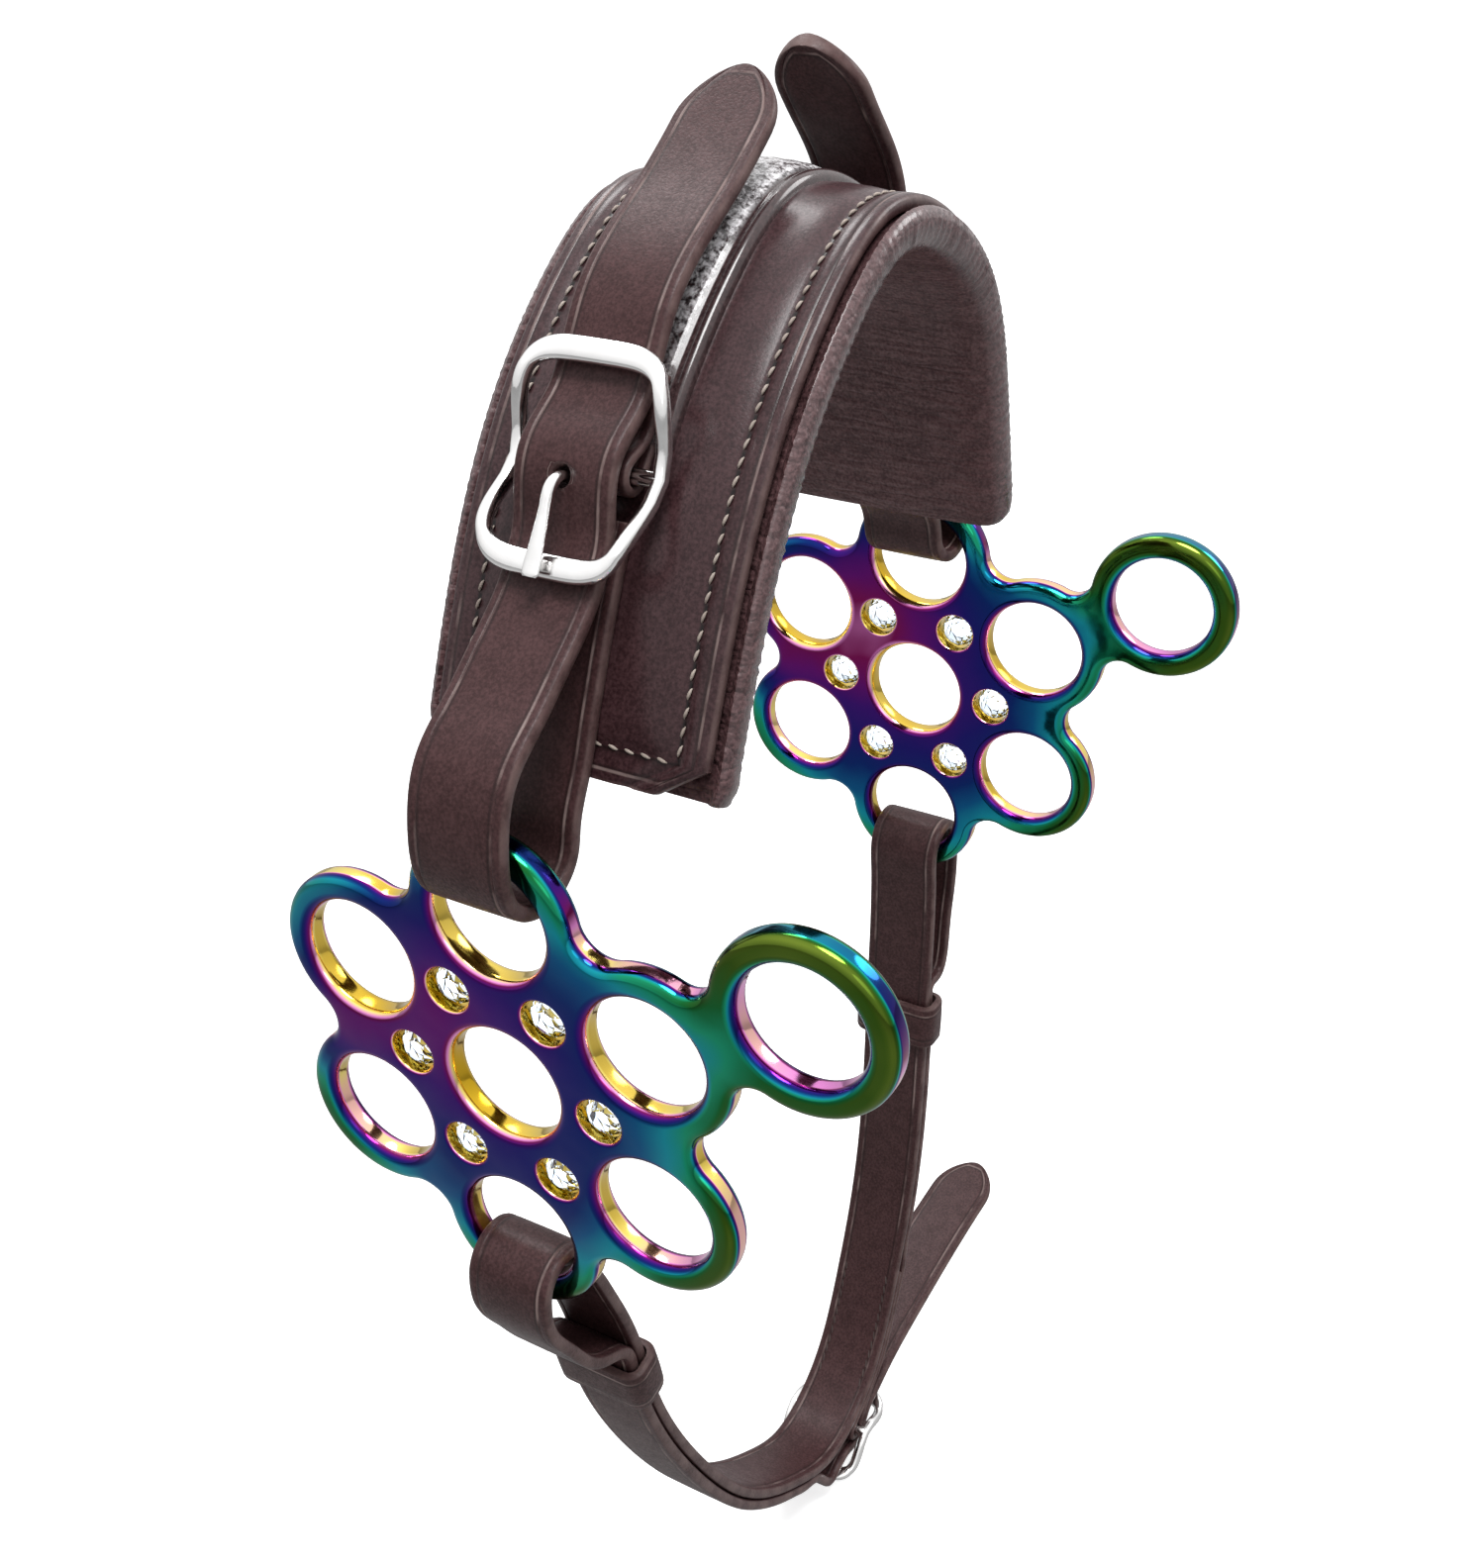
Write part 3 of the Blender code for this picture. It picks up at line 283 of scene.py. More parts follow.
def blend_colour(tree, share, first, second):
    """A Mix node for colours; tuples are colours, anything else is a socket."""
    node = tree.nodes.new("ShaderNodeMix")
    node.data_type = "RGBA"
    for socket, value in ((node.inputs[0], share), (node.inputs[6], first), (node.inputs[7], second)):
        if isinstance(value, (int, float)):
            socket.default_value = value
        elif isinstance(value, tuple):
            socket.default_value = (*value, 1.0)
        else:
            tree.links.new(value, socket)
    return node.outputs[2]


def noise(tree, place, scale, detail=3.0, rough=0.55):
    """Cloudy noise; the scale is in spots per metre."""
    node = tree.nodes.new("ShaderNodeTexNoise")
    node.inputs["Scale"].default_value = scale
    node.inputs["Detail"].default_value = detail
    node.inputs["Roughness"].default_value = rough
    tree.links.new(place, node.inputs["Vector"])
    return node.outputs["Fac"]


def number_on(tree, label):
    """A number stored on the mesh, read in the material."""
    node = tree.nodes.new("ShaderNodeAttribute")
    node.attribute_name = label
    return node.outputs["Fac"]


def bumped(tree, height, strength, distance, before=None):
    """A Bump node, laid over the normal of another one if that is given."""
    node = tree.nodes.new("ShaderNodeBump")
    node.inputs["Strength"].default_value = strength
    node.inputs["Distance"].default_value = distance
    tree.links.new(height, node.inputs["Height"])
    if before is not None:
        tree.links.new(before, node.inputs["Normal"])
    return node.outputs["Normal"]


def fresh_material(name, **values):
    """A new material, its nodes, its shader with the given values, and the object's own place.
    A value's name is the socket's, in small letters and with low lines."""
    material = bpy.data.materials.new(name)
    material.use_nodes = True
    tree = material.node_tree
    shader = tree.nodes["Principled BSDF"]
    for label, value in values.items():
        socket = {"ior": "IOR", "specular": "Specular IOR Level"}.get(label, label.replace("_", " ").title())
        shader.inputs[socket].default_value = value
    return material, tree, shader, tree.nodes.new("ShaderNodeTexCoord").outputs["Object"]


def leather_group():
    """Drift is a wide, a middle and a fine noise, each times its share. Grain is the pores, a
    quarter of the distance to the edge of small cells, plus crinkles, the distance to the middle
    of larger cells whose places a noise has bent."""
    group, put, get = group_of(
        "hide", [("Place", "vector", None), ("Cell Size", "float", 900.0), ("Crinkle", "float", 0.0)],
        [("Drift", "float"), ("Grain", "float")])
    wide, middle, fine = (sum_of(group, "MULTIPLY", noise(group, put.outputs["Place"], scale), share)
                          for scale, share in ((30.0, 0.12), (260.0, 0.26), (1500.0, 0.62)))
    group.links.new(sum_of(group, "ADD", wide, sum_of(group, "ADD", middle, fine)), get.inputs["Drift"])
    cells = group.nodes.new("ShaderNodeTexVoronoi")
    cells.feature = "DISTANCE_TO_EDGE"
    group.links.new(put.outputs["Place"], cells.inputs["Vector"])
    group.links.new(put.outputs["Cell Size"], cells.inputs["Scale"])
    pores = spread(group, cells.outputs["Distance"], 0.0, 0.25)
    folds = group.nodes.new("ShaderNodeTexVoronoi")
    folds.feature = "SMOOTH_F1"
    folds.inputs["Scale"].default_value = 420.0
    bent = group.nodes.new("ShaderNodeTexNoise")
    bent.inputs["Scale"].default_value = 300.0
    warp = group.nodes.new("ShaderNodeMix")
    warp.data_type = "VECTOR"
    warp.inputs[0].default_value = 0.0035
    group.links.new(put.outputs["Place"], bent.inputs["Vector"])
    group.links.new(put.outputs["Place"], warp.inputs[4])
    group.links.new(bent.outputs["Color"], warp.inputs[5])
    group.links.new(warp.outputs[1], folds.inputs["Vector"])
    crinkle = sum_of(group, "MULTIPLY", folds.outputs["Distance"], put.outputs["Crinkle"])
    fine = sum_of(group, "MULTIPLY", pores, 0.25)
    group.links.new(sum_of(group, "ADD", fine, crinkle), get.inputs["Grain"])
    return group


HIDE = leather_group()


def band(tree, value, middle, inner, outer):
    """One within inner of the middle value, falling to nothing at outer."""
    away = sum_of(tree, "ABSOLUTE", sum_of(tree, "SUBTRACT", value, middle), 0.0)
    return sum_of(tree, "SUBTRACT", 1.0, spread(tree, away, inner, outer))


def worn_and_highlit_edges(tree, place, colour, pale):
    """Cut edges painted paler in patches: partly rubbed wear, partly a painted edge highlight."""
    edge_wear_and_highlight = spread(tree, number_on(tree, "rim"), 0.0002, 0.0008, 0.75, 0.0)
    patchy = spread(tree, noise(tree, place, 150.0), 0.35, 0.65, 0.25, 1.0)
    return blend_colour(tree, sum_of(tree, "MULTIPLY", edge_wear_and_highlight, patchy), colour, pale)


def crease_light_and_shade(tree, place, colour, distance):
    """A line pressed near the edge, with a pale painted highlight along it, broken in patches, and a band of
    painted shade just inside it.
    """
    # painted shade: a dark band just inside the crease line
    dark = band(tree, number_on(tree, "rim"), distance + 0.0005, 0.0001, 0.0005)
    colour = blend_colour(tree, sum_of(tree, "MULTIPLY", dark, 0.6), colour, (0.012, 0.006, 0.006))
    # painted highlight: a pale line along the crease, broken in patches
    line = band(tree, number_on(tree, "rim"), distance, 0.00014, 0.00040)
    patchy = spread(tree, noise(tree, place, 90.0), 0.40, 0.66, 0.02, 0.55)
    return blend_colour(tree, sum_of(tree, "MULTIPLY", line, patchy), colour, (0.30, 0.225, 0.21))


SEAM_FROM_EDGE, STITCH_STEP = 0.0058, 0.0033


def seam_groove_shade(tree, colour, distance):
    """Painted shade in the pulled-down line of the seam, and darker painted shade in a hole between every two
    stitches: a cosine of the run.
    """
    rim, run = number_on(tree, "rim"), number_on(tree, "run")
    groove_shade = band(tree, rim, distance, 0.0002, 0.0008)
    wave = sum_of(tree, "COSINE", sum_of(tree, "MULTIPLY_ADD", run, 2 * math.pi / STITCH_STEP, 0.2), 0.0)
    hole_shade = sum_of(tree, "MULTIPLY", spread(tree, wave, -0.3, 0.8), band(tree, rim, distance, 0.0001, 0.0006))
    colour = blend_colour(tree, sum_of(tree, "MULTIPLY", groove_shade, 0.45), colour, (0.012, 0.006, 0.006))
    return blend_colour(tree, sum_of(tree, "MULTIPLY", hole_shade, 0.9), colour, (0.003, 0.002, 0.002))


def leather(name, dark, light, roughness, cell=1100.0, crinkle=0.0, bump=0.12, deep=0.0006,
            crease=None, seam=None, edge=True, coat=0.1, shine=0.3):
    """A finished leather: dye, grain, and near its edges a painted highlight and painted shade at the
    crease, painted shade in the seam, and pale edges that are partly wear, partly painted highlight.
    """
    material, tree, shader, place = fresh_material(
        name, specular=0.14, coat_weight=coat, coat_roughness=shine)
    hide = tree.nodes.new("ShaderNodeGroup")
    hide.node_tree = HIDE
    tree.links.new(place, hide.inputs["Place"])
    hide.inputs["Cell Size"].default_value = cell
    hide.inputs["Crinkle"].default_value = crinkle
    shade = spread(tree, hide.outputs["Drift"], 0.36, 0.66)
    colour = blend_colour(tree, shade, dark, light)
    rough = spread(tree, hide.outputs["Drift"], 0.3, 0.7, roughness + 0.08, roughness - 0.06)
    if edge:
        # pale cut edges: partly worn raw leather, partly a painted edge highlight
        colour = worn_and_highlit_edges(tree, place, colour, (0.13, 0.085, 0.08))
    if crease:
        # painted highlight along the crease and painted shade beside it
        colour = crease_light_and_shade(tree, place, colour, crease)
    if seam:
        # painted shade in the seam's groove and between its stitches
        colour = seam_groove_shade(tree, colour, seam)
    tree.links.new(colour, shader.inputs["Base Color"])
    tree.links.new(rough, shader.inputs["Roughness"])
    tree.links.new(bumped(tree, hide.outputs["Grain"], bump, deep), shader.inputs["Normal"])
    return material


BRIDLE = leather("bridle_leather", (0.030, 0.0126, 0.0130), (0.062, 0.0290, 0.0300), 0.42, crease=0.0022,
                 coat=0.07)
SHELL = leather("shell_leather", (0.020, 0.0072, 0.0086), (0.052, 0.0245, 0.027), 0.36, crease=0.0022,
                seam=SEAM_FROM_EDGE, coat=0.30, shine=0.22)


def creased_lining():
    """Soft leather whose fine folds run across the band: noise squeezed along it, with painted shade
    in the bottoms of the folds. On the piping, where the stored rim number is one, it has been
    handled to a gloss."""
    material = leather("lining_leather", (0.050, 0.022, 0.024), (0.115, 0.062, 0.064), 0.40, cell=700.0,
                       crinkle=0.5, bump=0.3, edge=False, shine=0.22)
    tree = material.node_tree
    shader = tree.nodes["Principled BSDF"]
    dyed, grained = (shader.inputs[label].links[0].from_socket for label in ("Base Color", "Normal"))
    squeeze = tree.nodes.new("ShaderNodeVectorMath")
    squeeze.operation = "MULTIPLY"
    squeeze.inputs[1].default_value = (1.0, 0.18, 1.0)
    tree.links.new(tree.nodes.new("ShaderNodeTexCoord").outputs["Object"], squeeze.inputs[0])
    folds = noise(tree, squeeze.outputs[0], 270.0, 2.5)
    ridge = sum_of(tree, "ABSOLUTE", sum_of(tree, "SUBTRACT", folds, 0.5), 0.0)
    tree.links.new(spread(tree, number_on(tree, "rim"), 0.0, 1.0, 0.12, 1.0), shader.inputs["Coat Weight"])
    tree.links.new(bumped(tree, ridge, 0.9, 0.0024, grained), shader.inputs["Normal"])
    # painted shade in the bottoms of the folds
    fold_shade = spread(tree, ridge, 0.0, 0.06, 0.20, 0.0)
    tree.links.new(blend_colour(tree, fold_shade, dyed, (0.010, 0.005, 0.006)), shader.inputs["Base Color"])
    return material


def crinkled_leather():
    """Patent-like leather with a painted highlight: near-white glints on the high spots of its
    crinkles near the crown, fading away from it. The turned edges, 4 mm wide, stay smooth and brown."""
    material = leather("crinkled_leather", (0.020, 0.010, 0.011), (0.060, 0.036, 0.037), 0.26, cell=520.0,
                       crinkle=1.6, bump=1.0, deep=0.0012, edge=False, coat=0.8, shine=0.10)
    tree = material.node_tree
    shader = tree.nodes["Principled BSDF"]
    dyed = shader.inputs["Base Color"].links[0].from_socket
    dent = shader.inputs["Normal"].links[0].from_node
    grain = dent.inputs["Height"].links[0].from_socket
    place = tree.nodes.new("ShaderNodeTexCoord").outputs["Object"]
    inside = spread(tree, number_on(tree, "rim"), 0.0034, 0.0046)
    tree.links.new(sum_of(tree, "MULTIPLY", grain, inside), dent.inputs["Height"])
    # painted highlight: near-white glints on the crinkles' high spots, strongest at the crown
    high = spread(tree, noise(tree, place, 620.0, 5.0, 0.7), 0.38, 0.62)
    crown = spread(tree, number_on(tree, "run"), 0.014, 0.046, 1.0, 0.16)
    painted_glint = sum_of(tree, "MULTIPLY", sum_of(tree, "MULTIPLY", high, inside), crown)
    tree.links.new(blend_colour(tree, painted_glint, dyed, (0.90, 0.88, 0.90)), shader.inputs["Base Color"])
    return material


SOFT = creased_lining()
CRINKLED = crinkled_leather()
print("leathers:", [m.name for m in (BRIDLE, SHELL, SOFT, CRINKLED)])

# %% [markdown]
# The noseband is a stack: outer leather, foam, and a soft lining that rolls up past the edges of
# the outer leather as a thin piping. One arch line carries them all. It is the outer face of the
# outer leather, read from the front: high and narrow, with sides that are nearly straight. In the
# photo it leans, as leather hangs that nothing fills: its left side slants more than its right.
# Half of it, laid out as on the right, serves each hanger strap.

# %% The arch line
HALF_SPAN, HUB_Z, STRAP_Y = 0.089, -0.131, 0.003
RING_PITCH, RING_HOLE, RING_FACE = 0.036, 0.012, 0.0015
ARCH_TOP, ARCH_HEIGHT, ARCH_HALF = 0.011, 0.0855, 0.066
SHAPE = np.array([
    (-1.068, 0.006), (-0.917, 0.287), (-0.652, 0.637), (-0.341, 0.871), (0.0, 1.0), (0.394, 0.930),
    (0.709, 0.702), (0.848, 0.392), (0.935, 0.099)])
ARCH = smooth_line(SHAPE * (ARCH_HALF, ARCH_HEIGHT) + (0, ARCH_TOP - ARCH_HEIGHT), 0.001)
ARCH_RUN = runs(ARCH)[-1]
MIDDLE = len(ARCH) // 2
HALVES = {-1: ARCH[MIDDLE::-1] * (-1, 1), 1: ARCH[MIDDLE:]}
BUCKLE_RUNS = {-1: 0.061, 1: 0.078}


def round_arch(ends, start, step):
    """Distances along the arch: a few close ones at an end, then even ones, and the same from
    the other end."""
    places = np.concatenate([ends, np.arange(start, ARCH_RUN, step)])
    places = places[places < ARCH_RUN / 2]
    return np.concatenate([places, ARCH_RUN - places[::-1]])


print(f"arch is {ARCH_RUN * 1000:.0f} mm round")

# %% [markdown]
# The outer leather is firm but the foam under it pushes it up between the two stitched lines, so
# its section is a flat border, a dip where the thread pulls it down, and a low crown between. Its
# four corners are clipped. The section is written as heights at distances from the edge, which
# keeps the border the same all round.

# %% Outer leather of the noseband
SHELL_HALF, SHELL_THICK = 0.0285, 0.0032
CORNER_WIDE, CORNER_LONG = 0.009, 0.006
SEAM_FROM_END, DIP_WIDE, DIP_DEEP = 0.0062, 0.0011, 0.0006
FADE_START, FADE_LONG = 0.004, 0.008
EDGE_STEPS = np.array([0, 0.12, 0.45, 0.95, 2.2, 2.5, 2.9, 4.4, 5.4, 6.1, 7.0, 8.6, 11.0, 15.0]) / 1000
EDGE_RISE = np.array([0, 0.42, 0.80, 0.95, 1.0, 0.90, 1.0, 0.96, 0.66, 0.60, 0.76, 1.06, 1.24, 1.36])


def border_section(half, thick, steps=EDGE_STEPS, rise=EDGE_RISE, under_steps=4):
    """Across and up values of a closed section: the top follows the rise at each distance from
    an edge, from one edge to the other; the underside follows its first few steps back."""
    scale = np.minimum(1.0, half / (steps[-1] * 1.02))[:, None]
    inward = steps[None] * scale
    top = np.concatenate([-half[:, None] + inward, half[:, None] - inward[:, ::-1]], axis=1)
    lift = np.concatenate([rise, rise[::-1]]) * thick[:, None] / 2
    back = slice(under_steps - 1, 0, -1)
    under = np.concatenate([half[:, None] - inward[:, 1:under_steps],
                            -half[:, None] + inward[:, back]], axis=1)
    drop = -np.concatenate([rise[1:under_steps], rise[back]]) * thick[:, None] / 2
    across = np.concatenate([top, under], axis=1)
    up = np.concatenate([lift, drop], axis=1)
    rim = np.concatenate([inward, inward[:, ::-1], inward[:, 1:under_steps], inward[:, back]], axis=1)
    return across, up, rim


def shell_piece():
    """The corners take a straight share off the half width. The padded crown fades out towards
    the ends, where a bell curve of the distance makes the dip of the seam that runs across."""
    places = round_arch([0, 0.0006, 0.0018, 0.004, 0.006], 0.0075, 0.0013)
    line, _, _ = on_line(ARCH, places)
    from_end = np.minimum(places, ARCH_RUN - places)
    half = SHELL_HALF - CORNER_WIDE * np.clip(1 - from_end / CORNER_LONG, 0, 1)
    across, up, rim = border_section(half, np.full(len(line), SHELL_THICK))
    flat = np.clip((from_end - FADE_START) / FADE_LONG, 0, 1)[:, None]
    up = np.where(up > SHELL_THICK / 2 * 0.98, SHELL_THICK / 2 + (up - SHELL_THICK / 2) * flat, up)
    dip = np.exp(-((from_end - SEAM_FROM_END) / DIP_WIDE) ** 2)[:, None]
    up -= DIP_DEEP * dip * (rim > SEAM_FROM_EDGE - 0.0003) * (up > 0)
    points = swept(line, across, up - SHELL_THICK / 2, np.zeros(len(line)))
    rim = np.minimum(rim, from_end[:, None] + 0.0001)
    return skin("noseband_outer_leather", points, SHELL, rim=rim, run=places[:, None])


outer_leather = shell_piece()
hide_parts("noseband_shell")
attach(outer_leather, "noseband")
print("outer leather:", len(outer_leather.data.polygons), "faces")

# %% [markdown]
# The lining is one soft padded body here: foam and lining leather together, because nobody sees
# where they part. Its inner face is gently crowned towards the nose, and both long edges end in a
# round piping that stands past the outer leather. Small wrinkles run across the piping.

# %% Lining and padding
PAD_TOP, PAD_BASE, PAD_HALF = 0.0035, 0.0110, 0.03175
PAD_END, PAD_DRAWN, WRINKLE = 0.0055, 0.0016, 0.00013
PAD_SIDE = np.array([
    (0.90, 0.02), (0.925, -0.12), (0.955, -0.22), (0.985, -0.16), (1.0, 0.06), (0.998, 0.30),
    (0.985, 0.52), (0.962, 0.70), (0.925, 0.84), (0.86, 0.93), (0.70, 0.975), (0.45, 0.995), (0.2, 1.0)])
PAD_SHARES = np.concatenate([[(-0.90, 0.02), (0.0, 0.02)], PAD_SIDE, [(0.0, 1.0)], PAD_SIDE[:0:-1] * (-1, 1)])


def pad_piece():
    """Section shares times half width and depth; near the ends both draw in by an ellipse, and
    sines of the distance along, faded to the edges, raise the wrinkles of the piping."""
    places = round_arch([0, 0.0004, 0.0012, 0.0025, 0.0042], 0.006, 0.0009)
    line, _, _ = on_line(ARCH, places)
    from_end = np.minimum(places, ARCH_RUN - places)[:, None]
    drawn = np.sqrt(np.clip(1 - (1 - np.clip(from_end / PAD_END, 0, 1)) ** 2, 0.05, 1))
    share, depth = PAD_SHARES[None, :, 0], PAD_SHARES[None, :, 1]
    middle = (PAD_TOP + PAD_BASE) / 2
    level = PAD_TOP + depth * (PAD_BASE - PAD_TOP)
    level = middle + (level - middle) * (0.72 + 0.28 * drawn)
    at_edge = np.clip((np.abs(share) - 0.93) / 0.05, 0, 1)
    run = places[:, None]
    wrinkle = (np.sin(run * 2900 + 2 * np.sin(run * 310)) + 0.6 * np.sin(run * 4700 + 1.3)) * WRINKLE
    across = share * (PAD_HALF - PAD_DRAWN * (1 - drawn) + wrinkle * at_edge)
    up = -(level + wrinkle * at_edge * 0.5)
    points = swept(line, across, up, np.zeros(len(line)))
    return skin("noseband_lining_pad", points, SOFT, rim=at_edge, run=run, sharp=60)


lining = pad_piece()
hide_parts("noseband_lining", "noseband_padding")
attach(lining, "noseband")
print("lining:", len(lining.data.polygons), "faces")

# %% [markdown]
# A second strip lies over the crown and reaches under both buckles. Its leather is crinkled and
# shiny, and its long edges are turned under, which leaves a round welt beside a sewn groove.

# %% Crown strip
STRIP_HALF, STRIP_THICK, STRIP_SHORT = 0.0133, 0.0034, 0.0062
WELT, LUMP = 0.0042, 0.00009
STRIP_STEPS = np.array([0, 0.1, 0.4, 0.9, 1.6, 2.3, 2.9, 3.4, 3.9, 4.6, 5.6, 7.5, 10.5, 14.0]) / 1000
STRIP_RISE = np.array([-1.0, -0.55, -0.05, 0.25, 0.38, 0.30, 0.08, 0.0, 0.10, 0.34, 0.56, 0.78, 0.94, 1.0])


def strip_piece():
    """The section's height is scaled by thickness; sines of place give a lumpy surface inside the
    welt. The last six points of the section are its underside, which lies flat."""
    middle = runs(ARCH)[MIDDLE]
    places = np.linspace(middle - BUCKLE_RUNS[-1] + STRIP_SHORT, middle + BUCKLE_RUNS[1] - STRIP_SHORT, 190)
    line, _, _ = on_line(ARCH, places)
    across, up, rim = border_section(np.full(len(line), STRIP_HALF), np.full(len(line), STRIP_THICK),
                                     STRIP_STEPS, STRIP_RISE)
    up[:, -6:] = -STRIP_THICK / 2 + 0.0001
    inside = np.clip((rim - WELT) / 0.002, 0, 1) * (up > 0)
    run = places[:, None]
    lumps = (np.sin(run * 2100 + across * 900) * np.sin(across * 1900 - run * 700 + 1)
             + 0.5 * np.sin(run * 3900 + 2 * np.sin(across * 2600)))
    up = up + lumps * inside * LUMP
    points = swept(line, across, up + STRIP_THICK / 2 + 0.0003, np.full(len(line), STRAP_Y))
    return skin("crown_strip_crinkled", points, CRINKLED, rim=rim, run=np.abs(run - middle), sharp=60)


crown_strip = strip_piece()
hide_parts("crown_strip")
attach(crown_strip, "noseband")
print("crown strip:", len(crown_strip.data.polygons), "faces")

# %% [markdown]
# A strap is cut from one hide: its faces are slightly crowned, its edges are rounded and
# burnished, and a line is creased about 2 mm inside each edge. One function makes all of them. The
# free ends are cut to a rounded point: nearly straight cuts from both edges, and a round nose.

# %% Strap maker
STRAP_STEPS = np.array([0, 0.1, 0.35, 0.8, 1.7, 1.95, 2.1, 2.25, 2.5, 4.2, 6.5, 8.6]) / 1000
STRAP_RISE = np.array([0, 0.48, 0.80, 0.95, 1.0, 0.96, 0.88, 0.96, 1.0, 1.01, 1.02, 1.03])
POINT_LENGTH, BLUNT = 0.0125, 0.08
HOLE_R = 0.0021


def pointed(line, half):
    """Half width along a strap: full, then a power curve of the distance to the tip."""
    left = np.clip((runs(line)[-1] - runs(line)) / POINT_LENGTH, 0, 1)
    return half * (BLUNT + (1 - BLUNT) * (1 - (1 - left) ** 1.9) ** 0.66)


def near_tip_dense(line):
    """Extra points in the last stretch, closer together towards the tip."""
    total = runs(line)[-1]
    places = np.concatenate([np.arange(0, total - POINT_LENGTH, 0.001),
                             total - POINT_LENGTH * (1 - np.linspace(0, 1, 22) ** 0.6)])
    columns = [np.interp(places, runs(line), line[:, k]) for k in range(line.shape[1])]
    return np.stack(columns, axis=1)


def strap_piece(name, line, half, thick, side=1, sway=0.0):
    """The section at full thickness one, times the thickness, carried along the line; sway moves
    the middle in Y. On the left side the line is laid out as on the right and mirrored."""
    half = np.broadcast_to(half, len(line)).astype(float)
    thick = np.broadcast_to(thick, len(line)).astype(float)
    across, up, rim = border_section(half, np.ones(len(line)), STRAP_STEPS, STRAP_RISE, len(STRAP_STEPS))
    points = swept(line[:, :2], across, up * thick[:, None], STRAP_Y + np.broadcast_to(sway, len(line)))
    points[..., 0] *= side
    ends = np.minimum(runs(line), runs(line)[-1] - runs(line))[:, None]
    return skin(name, points, BRIDLE, rim=np.minimum(rim, ends + 0.0003), run=runs(line)[:, None])


def punch(target, place, direction, depth, side=1):
    """Takes a round tongue hole out of a strap: a bar along the given direction is cut away."""
    turns = full_turn(24)
    along = np.array([side * direction[0], 0.0, direction[1]])
    beside = np.cross(along, (0.0, 1.0, 0.0))
    ring = HOLE_R * (np.cos(turns)[:, None] * np.array([0.0, 1.0, 0.0]) + np.sin(turns)[:, None] * beside)
    ends = along * (np.array([-0.5, 0.5]) * depth)[:, None, None]
    bar = skin("hole_bar", np.array([side * place[0], STRAP_Y, place[1]]) + ring[None] + ends, BRIDLE)
    combined(target, bar, "DIFFERENCE")


print("strap maker ready")

# %% [markdown]
# Each buckle sits over its strap on a centre bar. The free end of the strap passes under one end
# of the frame, over the centre bar and under the other end. The levels add up from the bar, the
# fold of leather round it, the tongue's eye and small gaps.

# %% Buckle seats
GAP, PLAY = 0.0003, 0.0009
BAR_R, ROD_W, ROD_T, TONGUE_R, CHAPE_T = 0.0015, 0.0036, 0.0030, 0.0011, 0.0019
EYE_R = BAR_R + GAP + TONGUE_R
BAR_UP = EYE_R + TONGUE_R + GAP
HOLE_RUN, SLOT_HALF = -1.14 * EYE_R, 0.0022


class Seat:
    """Where a buckle sits: its bar, the way along and out, and the levels of what goes through."""

    def __init__(self, line, run, base, thick, width, length, side_gap, way):
        place, slope, out = (value[0] for value in on_line(line, run))
        self.along, self.out, self.thick = slope * way, out, thick
        self.bar = place + out * (base + BAR_UP)
        self.reach = (length - ROD_W) / 2
        self.half = width / 2 + side_gap + ROD_W / 2
        self.low = 2 * (GAP + CHAPE_T) - BAR_UP + GAP + thick / 2
        self.high = EYE_R + TONGUE_R + 3 * GAP + thick / 2
        self.bow = self.low + thick / 2 + PLAY + ROD_T / 2

    def at(self, run, level):
        """Places at a run along the strap and a level outwards, both from the bar."""
        return self.bar + np.multiply.outer(run, self.along) + np.multiply.outer(level, self.out)

    def billet(self, run):
        """Level of the free end: low plus the rest times a squared cosine over the bar."""
        lift = np.cos(np.clip(run / (self.reach - ROD_W), -1, 1) * math.pi / 2) ** 2
        return self.low + (self.high - self.low) * lift

    def through(self, count):
        """Places of the free end from one end of the frame to the other."""
        run = np.linspace(-1, 1, count) * (self.reach + ROD_W / 2)
        return list(self.at(run, self.billet(run)))

    def world(self, points, side):
        """Points given as (along, across, out) on the seat, in the model's frame."""
        flat = self.bar + points[..., :1] * self.along + points[..., 2:] * self.out
        return in_space(flat * (side, 1), STRAP_Y + points[..., 1])


HANGER_HALF, HANGER_T = 0.010, 0.003
HANGER_SEATS = {side: Seat(HALVES[side], BUCKLE_RUNS[side], 0, HANGER_T, 2 * HANGER_HALF, 0.0405, 0.0028, -1)
                for side in (-1, 1)}


def fold(seat, count):
    """Half circle round the centre bar, from its underside to its top."""
    radius, turns = BAR_R + GAP + CHAPE_T / 2, np.linspace(0, math.pi, count)
    return list(seat.at(-radius * np.sin(turns), -radius * np.cos(turns)))


print("hanger buckle bars at", [seat.bar.round(4).tolist() for seat in HANGER_SEATS.values()])

# %% [markdown]
# The two hanger straps are sewn to the noseband under each buckle, drop through the upper ring of
# a cheek plate and come back up outside, through the buckle, to a free tip that stands off the
# crown of the noseband.

# %% Hanger straps
def loop_rise(width, radius, thick, shift):
    """How far a loop's centre stands from the ring's: the chord that the strap's edges rest on,
    plus the side of a right triangle inside the loop."""
    chord = math.sqrt((RING_HOLE - GAP) ** 2 - (width / 2) ** 2)
    return chord + math.sqrt((radius - thick / 2) ** 2 - (RING_FACE + shift) ** 2)


def beside_chord(start, end, shares):
    """Places beside a straight line: a share of the way along it, and a share of it outwards."""
    chord = end - start
    return [start + chord * a + np.array([chord[1], -chord[0]]) * b for a, b in shares]


HANGER_LOOP_R, HANGER_SHIFT, HANGER_PUNCH = 0.0103, 0.0028, 0.0063
OUTER_SHARES = ((0.09, 0.066), (0.32, 0.145), (0.53, 0.095), (0.73, 0.045))
LIFTS = {-1: (0.007, 0.0), 1: (0.0166, -0.0005)}
TIPS = {-1: (-0.0058, ARCH_TOP + 0.0192), 1: (0.0272, ARCH_TOP + 0.0215)}


